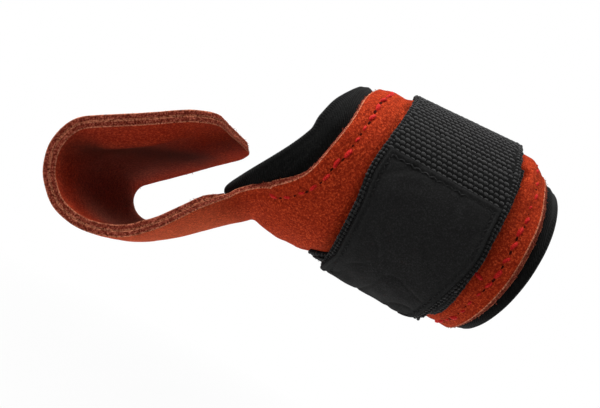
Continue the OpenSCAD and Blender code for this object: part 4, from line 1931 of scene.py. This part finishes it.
    def patch_seams(self, first: float, last: float) -> Seeds:
        """Zigzag stitches along the long edges and the head of the patch.

        Args:
            first: Angle of the head of the patch.
            last: Angle at which the patch ends.

        Returns:
            Where the stitches lie.
        """
        form, rim = self.form, self.patch_rim
        lift = form.tape_lift + form.patch - self.seam_depth
        inset = form.patch_inset + self.seam_inset + rim
        turn = math.degrees(self.stitch_pitch / (form.inner + form.tail_lift))
        angle = np.arange(first + 2.0, last - 2.0, turn)
        slant = np.where(np.arange(len(angle)) % 2, self.stitch_slant, -self.stitch_slant)
        parts = [self.frames(x, angle, lift, 90.0 + slant) for x in form.edges(angle, inset)]
        head = first + math.degrees((self.seam_inset + rim) / form.inner)
        x = np.arange(*(float(v) for v in form.edges(np.array(head), inset)), self.stitch_pitch)
        slant = np.where(np.arange(len(x)) % 2, self.stitch_slant, -self.stitch_slant)
        return Seeds.joined([*parts, self.frames(x, np.full(len(x), head), lift, slant)])

    @staticmethod
    def on_cuff(piece: Object) -> None:
        """Lets a finished piece ride on the cuff."""
        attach(piece, "cuff")

    def build(self) -> None:
        """Makes the wrapped webbing, the tail, the tapes, the patch and their pile, weave and stitches."""
        form = self.form
        hinge, end = form.hinge_angle + FULL_TURN, form.end_angle + FULL_TURN
        core, yarn, pile, hooks = (finish.material() for finish in (SHADED_WEBBING_CORE, WEBBING, PILE, HOOK_TAPE))
        web_rim = Rim(depth=0.5, steps=6, rough=0.04, seed=17)
        tape_rim = Rim(depth=0.3, steps=4)
        bend = ring(0.0, hinge + np.array(self.bend), form.inner + form.tail_lift + form.webbing)
        tail = Zone("cuff", "strap_tail", *bend).carry
        top = form.webbing - self.float_height * self.float_proud
        loop_face = form.tape_lift + form.loop * self.backing
        hook_face = -form.hook * self.backing - form.cuff.bond
        loop_first, loop_end = form.start_angle + form.tape_setback, form.end_angle + form.loop_overrun
        patch_first = hinge + form.tape_setback
        patch_last = end - form.patch_setback
        wrap = self.band(form.start_angle, self.seam_angle, 0.0, top, 0.0, web_rim, joined=(False, True))
        web = self.band(self.seam_angle, end, 0.0, top, 0.0, web_rim, corners=(1.0, 6.0),
                        joined=(True, False))
        loops = self.band(loop_first, loop_end, form.tape_lift, loop_face, form.tape_inset, tape_rim)
        hooked = self.band(patch_first, end + self.tape_show, hook_face, -form.cuff.bond, form.tape_inset,
                           tape_rim, corners=(30.0, 2.0))
        patch = self.band(patch_first, patch_last, form.tape_lift - form.cuff.bond,
                          form.tape_lift + form.patch, form.patch_inset, Rim(depth=self.patch_rim, steps=6),
                          corners=(0.8, 5.0), wave=0.42, hem=2.2, fine=2.4, hemmed=True)
        webs = [
            ("strap_wrap", wrap, core, self.on_cuff, "strap_base", "webbing", (0.05, 0.26)),
            ("strap_tail_web", web, core, tail, "tail_webbing", "webbing", (0.055, 0.085)),
            ("strap_loop_tape", loops, pile, self.on_cuff, "loop_tape", "loop_tape", (0.046, 0.1)),
            ("strap_hook_tape", hooked, hooks, tail, "hook_tape", "hook_tape", (0.05, 0.066)),
            ("strap_patch", patch, PATCH.material(), tail, "end_patch", "patch", (0.05, 0.07)),
        ]
        for name, sheet, material, carry, node, slot, flat in webs:
            # The patch's rim takes the darker core colour as painted shade on its end.
            piece = sheet.build(name, material, core if node == "end_patch" else material)
            carry(piece)
            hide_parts(node)
            min(sheet.area(), flat[0] * flat[1])
            LOG.info("%s: %d faces, %d cm2", name, len(piece.data.polygons), round(sheet.area() * CM2_PER_M2))
        bead = Scatter(Motif.BEAD, length=2.22, width=1.66, height=self.float_height, spread=0.12)
        stitch = Scatter(Motif.ARCH, length=2.0, width=0.6, height=0.25, drop=0.3, spread=0.15)
        arch = Scatter(Motif.ARCH, length=0.9, width=0.16, height=0.35, drop=0.1, spread=0.3)
        hook = Scatter(Motif.HOOK, length=0.4, width=0.22, height=0.4, drop=0.1, spread=0.1)
        wrap_weave = self.weave(loop_end + 1.0, self.seam_angle, math.inf, form.start_angle + 1.0)
        tail_weave = self.weave(self.seam_angle, end - 1.0, patch_first, self.seam_angle)
        inset = form.tape_inset + 0.8
        loop_pile = self.carpet(loop_first + 1.0, loop_end - 1.0, inset, loop_face, 1.5, 1.0)
        hook_pile = self.carpet(patch_first + 1.0, end - form.tape_setback - 1.0, inset, hook_face, 1.6, -1.0)
        seams = self.patch_seams(patch_first, patch_last)
        trims = [
            ("strap_wrap_weave", bead, wrap_weave, yarn, self.on_cuff, "webbing"),
            ("strap_tail_weave", bead, tail_weave, yarn, tail, "webbing"),
            ("loop_pile", arch, loop_pile, pile, self.on_cuff, "loop_tape"),
            ("hook_pile", hook, hook_pile, hooks, tail, "hook_tape"),
            ("patch_seam_thread", stitch, seams, PATCH_THREAD.material(), tail, "patch"),
        ]
        for name, tool, seeds, material, carry, slot in trims:
            piece = tool.build(name, seeds, material)
            carry(piece)
            LOG.info("%s: %d copies", name, len(seeds.points))


@dataclass
class Studio:
    """Camera, lights, white surroundings and a pale floor.

    Attributes:
        eye: Place of the camera.
        roll: How far the cuff slants down to the right in the picture, in degrees.
        lens: Focal length of the camera.
        sensor: Width of its sensor.
        target: Place that the lamps face.
        lamp_size: Width of each lamp, in metres.
        ambient: Light of the surroundings.
        floor_z: Height of the floor.
        floor_half: Half the width of the floor.
        floor_grey: How pale the floor is.
    """
    eye: Triple = (-47.0, -345.0, -22.2)
    roll: float = 29.4
    lens: float = 48.0
    sensor: float = 36.0
    target: Triple = (-45.0, 0.0, -20.0)
    lamp_size: float = 0.5
    ambient: Colour = (0.068, 0.068, 0.069)
    floor_z: float = -215.0
    floor_half: float = 4000.0
    floor_grey: float = 0.74

    def axes(self) -> tuple[Vector, Vector, Vector]:
        """Directions to the right, to the top and toward the viewer of the picture."""
        c, s = math.cos(math.radians(self.roll)), math.sin(math.radians(self.roll))
        return Vector((c, 0, s)), Vector((-s, 0, c)), Vector((0, -1, 0))

    def camera(self) -> None:
        """Makes the camera at the photograph's viewing angle."""
        right, top, back = self.axes()
        data = bpy.data.cameras.new("camera")
        data.lens, data.sensor_width, data.sensor_fit = self.lens, self.sensor, "HORIZONTAL"
        data.clip_start, data.clip_end = 0.01, 50.0
        camera = placed("camera", data)
        turn = Matrix((right, top, back)).transposed().to_4x4()
        camera.matrix_world = Matrix.Translation(Vector(self.eye) * MM) @ turn
        bpy.context.scene.camera = camera

    def lamp(self, name: str, place: Triple, power: float) -> None:
        """Makes one soft lamp that faces the grip.

        Args:
            name: Name of the lamp.
            place: Distance to the right, to the top and toward the viewer, in metres.
            power: Power in watts.
        """
        data = bpy.data.lights.new(name, "AREA")
        data.size, data.energy, data.shape = self.lamp_size, power, "DISK"
        lamp = placed(name, data)
        lamp.visible_camera = False
        offset = sum((axis * amount for axis, amount in zip(self.axes(), place)), Vector())
        lamp.location = Vector(self.target) * MM + offset
        lamp.rotation_euler = (-offset).to_track_quat("-Z", "Y").to_euler()

    @staticmethod
    def seen_white(canvas: Canvas) -> NodeSocket:
        """Finds the rays that meet plain white: those of the camera, of gloss and of glass.

        Args:
            canvas: The tree that takes the nodes.

        Returns:
            A socket that is 1 for those rays.
        """
        path = canvas.node("ShaderNodeLightPath").outputs
        both = canvas.math("MAXIMUM", path["Is Camera Ray"], path["Is Glossy Ray"])
        return canvas.math("MAXIMUM", both, path["Is Transmission Ray"])

    def world(self) -> None:
        """Makes the surroundings: white to look at, soft grey as a light."""
        world = bpy.data.worlds.new("surroundings")
        canvas = Canvas.cleared(world)
        shade = canvas.blend(self.seen_white(canvas), (*self.ambient, 1.0), (1.0, 1.0, 1.0, 1.0))
        light = canvas.node("ShaderNodeBackground", {"Color": shade, "Strength": 1.0})
        canvas.node("ShaderNodeOutputWorld", {0: light.outputs[0]})
        bpy.context.scene.world = world

    def floor(self) -> None:
        """Makes the pale floor, nearly white to the camera, which keeps a faint shadow."""
        material = bpy.data.materials.new("pale_floor")
        canvas = Canvas.cleared(material)
        matte = canvas.node("ShaderNodeBsdfDiffuse", {"Color": (*[self.floor_grey] * 3, 1.0)})
        white = canvas.node("ShaderNodeEmission", {"Color": (1.0, 1.0, 1.0, 1.0), "Strength": 1.0})
        place = canvas.node("ShaderNodeTexCoord").outputs["Object"]
        away = canvas.node("ShaderNodeVectorMath", {0: place}, operation="LENGTH").outputs["Value"]
        share = canvas.math("MULTIPLY", self.seen_white(canvas), canvas.remap(away, 0.25, 0.6, 0.85, 1.0))
        both = canvas.node("ShaderNodeMixShader", {0: share, 1: matte.outputs[0], 2: white.outputs[0]})
        canvas.node("ShaderNodeOutputMaterial", {0: both.outputs[0]})
        h, z = self.floor_half, self.floor_z
        points = np.array([[-h, -h, z], [h, -h, z], [h, h, z], [-h, h, z]])
        floor = write_mesh("floor", points, np.array([[0, 1, 2, 3]]), [material])
        floor.visible_shadow = False

    def build(self) -> None:
        """Sets up the whole studio."""
        self.camera()
        self.world()
        self.floor()
        self.lamp("key_right", (0.55, 0.5, 0.0), 2.6)
        self.lamp("key_top", (0.0, 0.75, 0.0), 6.7)
        self.lamp("key_front", (0.0, 0.6, 0.45), 2.0)
        self.lamp("left", (-0.75, 0.0, 0.15), 1.05)
        self.lamp("under_back", (0.0, -0.55, -0.4), 1.7)
        self.lamp("under_right", (0.5, -0.5, 0.05), 0.15)
        bpy.context.scene.view_settings.view_transform = "Standard"
        LOG.info("studio: camera, world, floor and lamps")


def main() -> None:
    """Builds the sub-assemblies in order."""
    logging.basicConfig(level=logging.INFO, format="%(name)s: %(message)s")
    cuff = CuffForm()
    flap, strap = FlapForm(cuff), StrapForm(cuff)
    swell = Swell(strap)
    Studio().build()
    WristPad(cuff, flap, swell).build()
    Leather(cuff, flap, swell).build()
    Strap(strap).build()


if __name__ == "__main__":
    main()
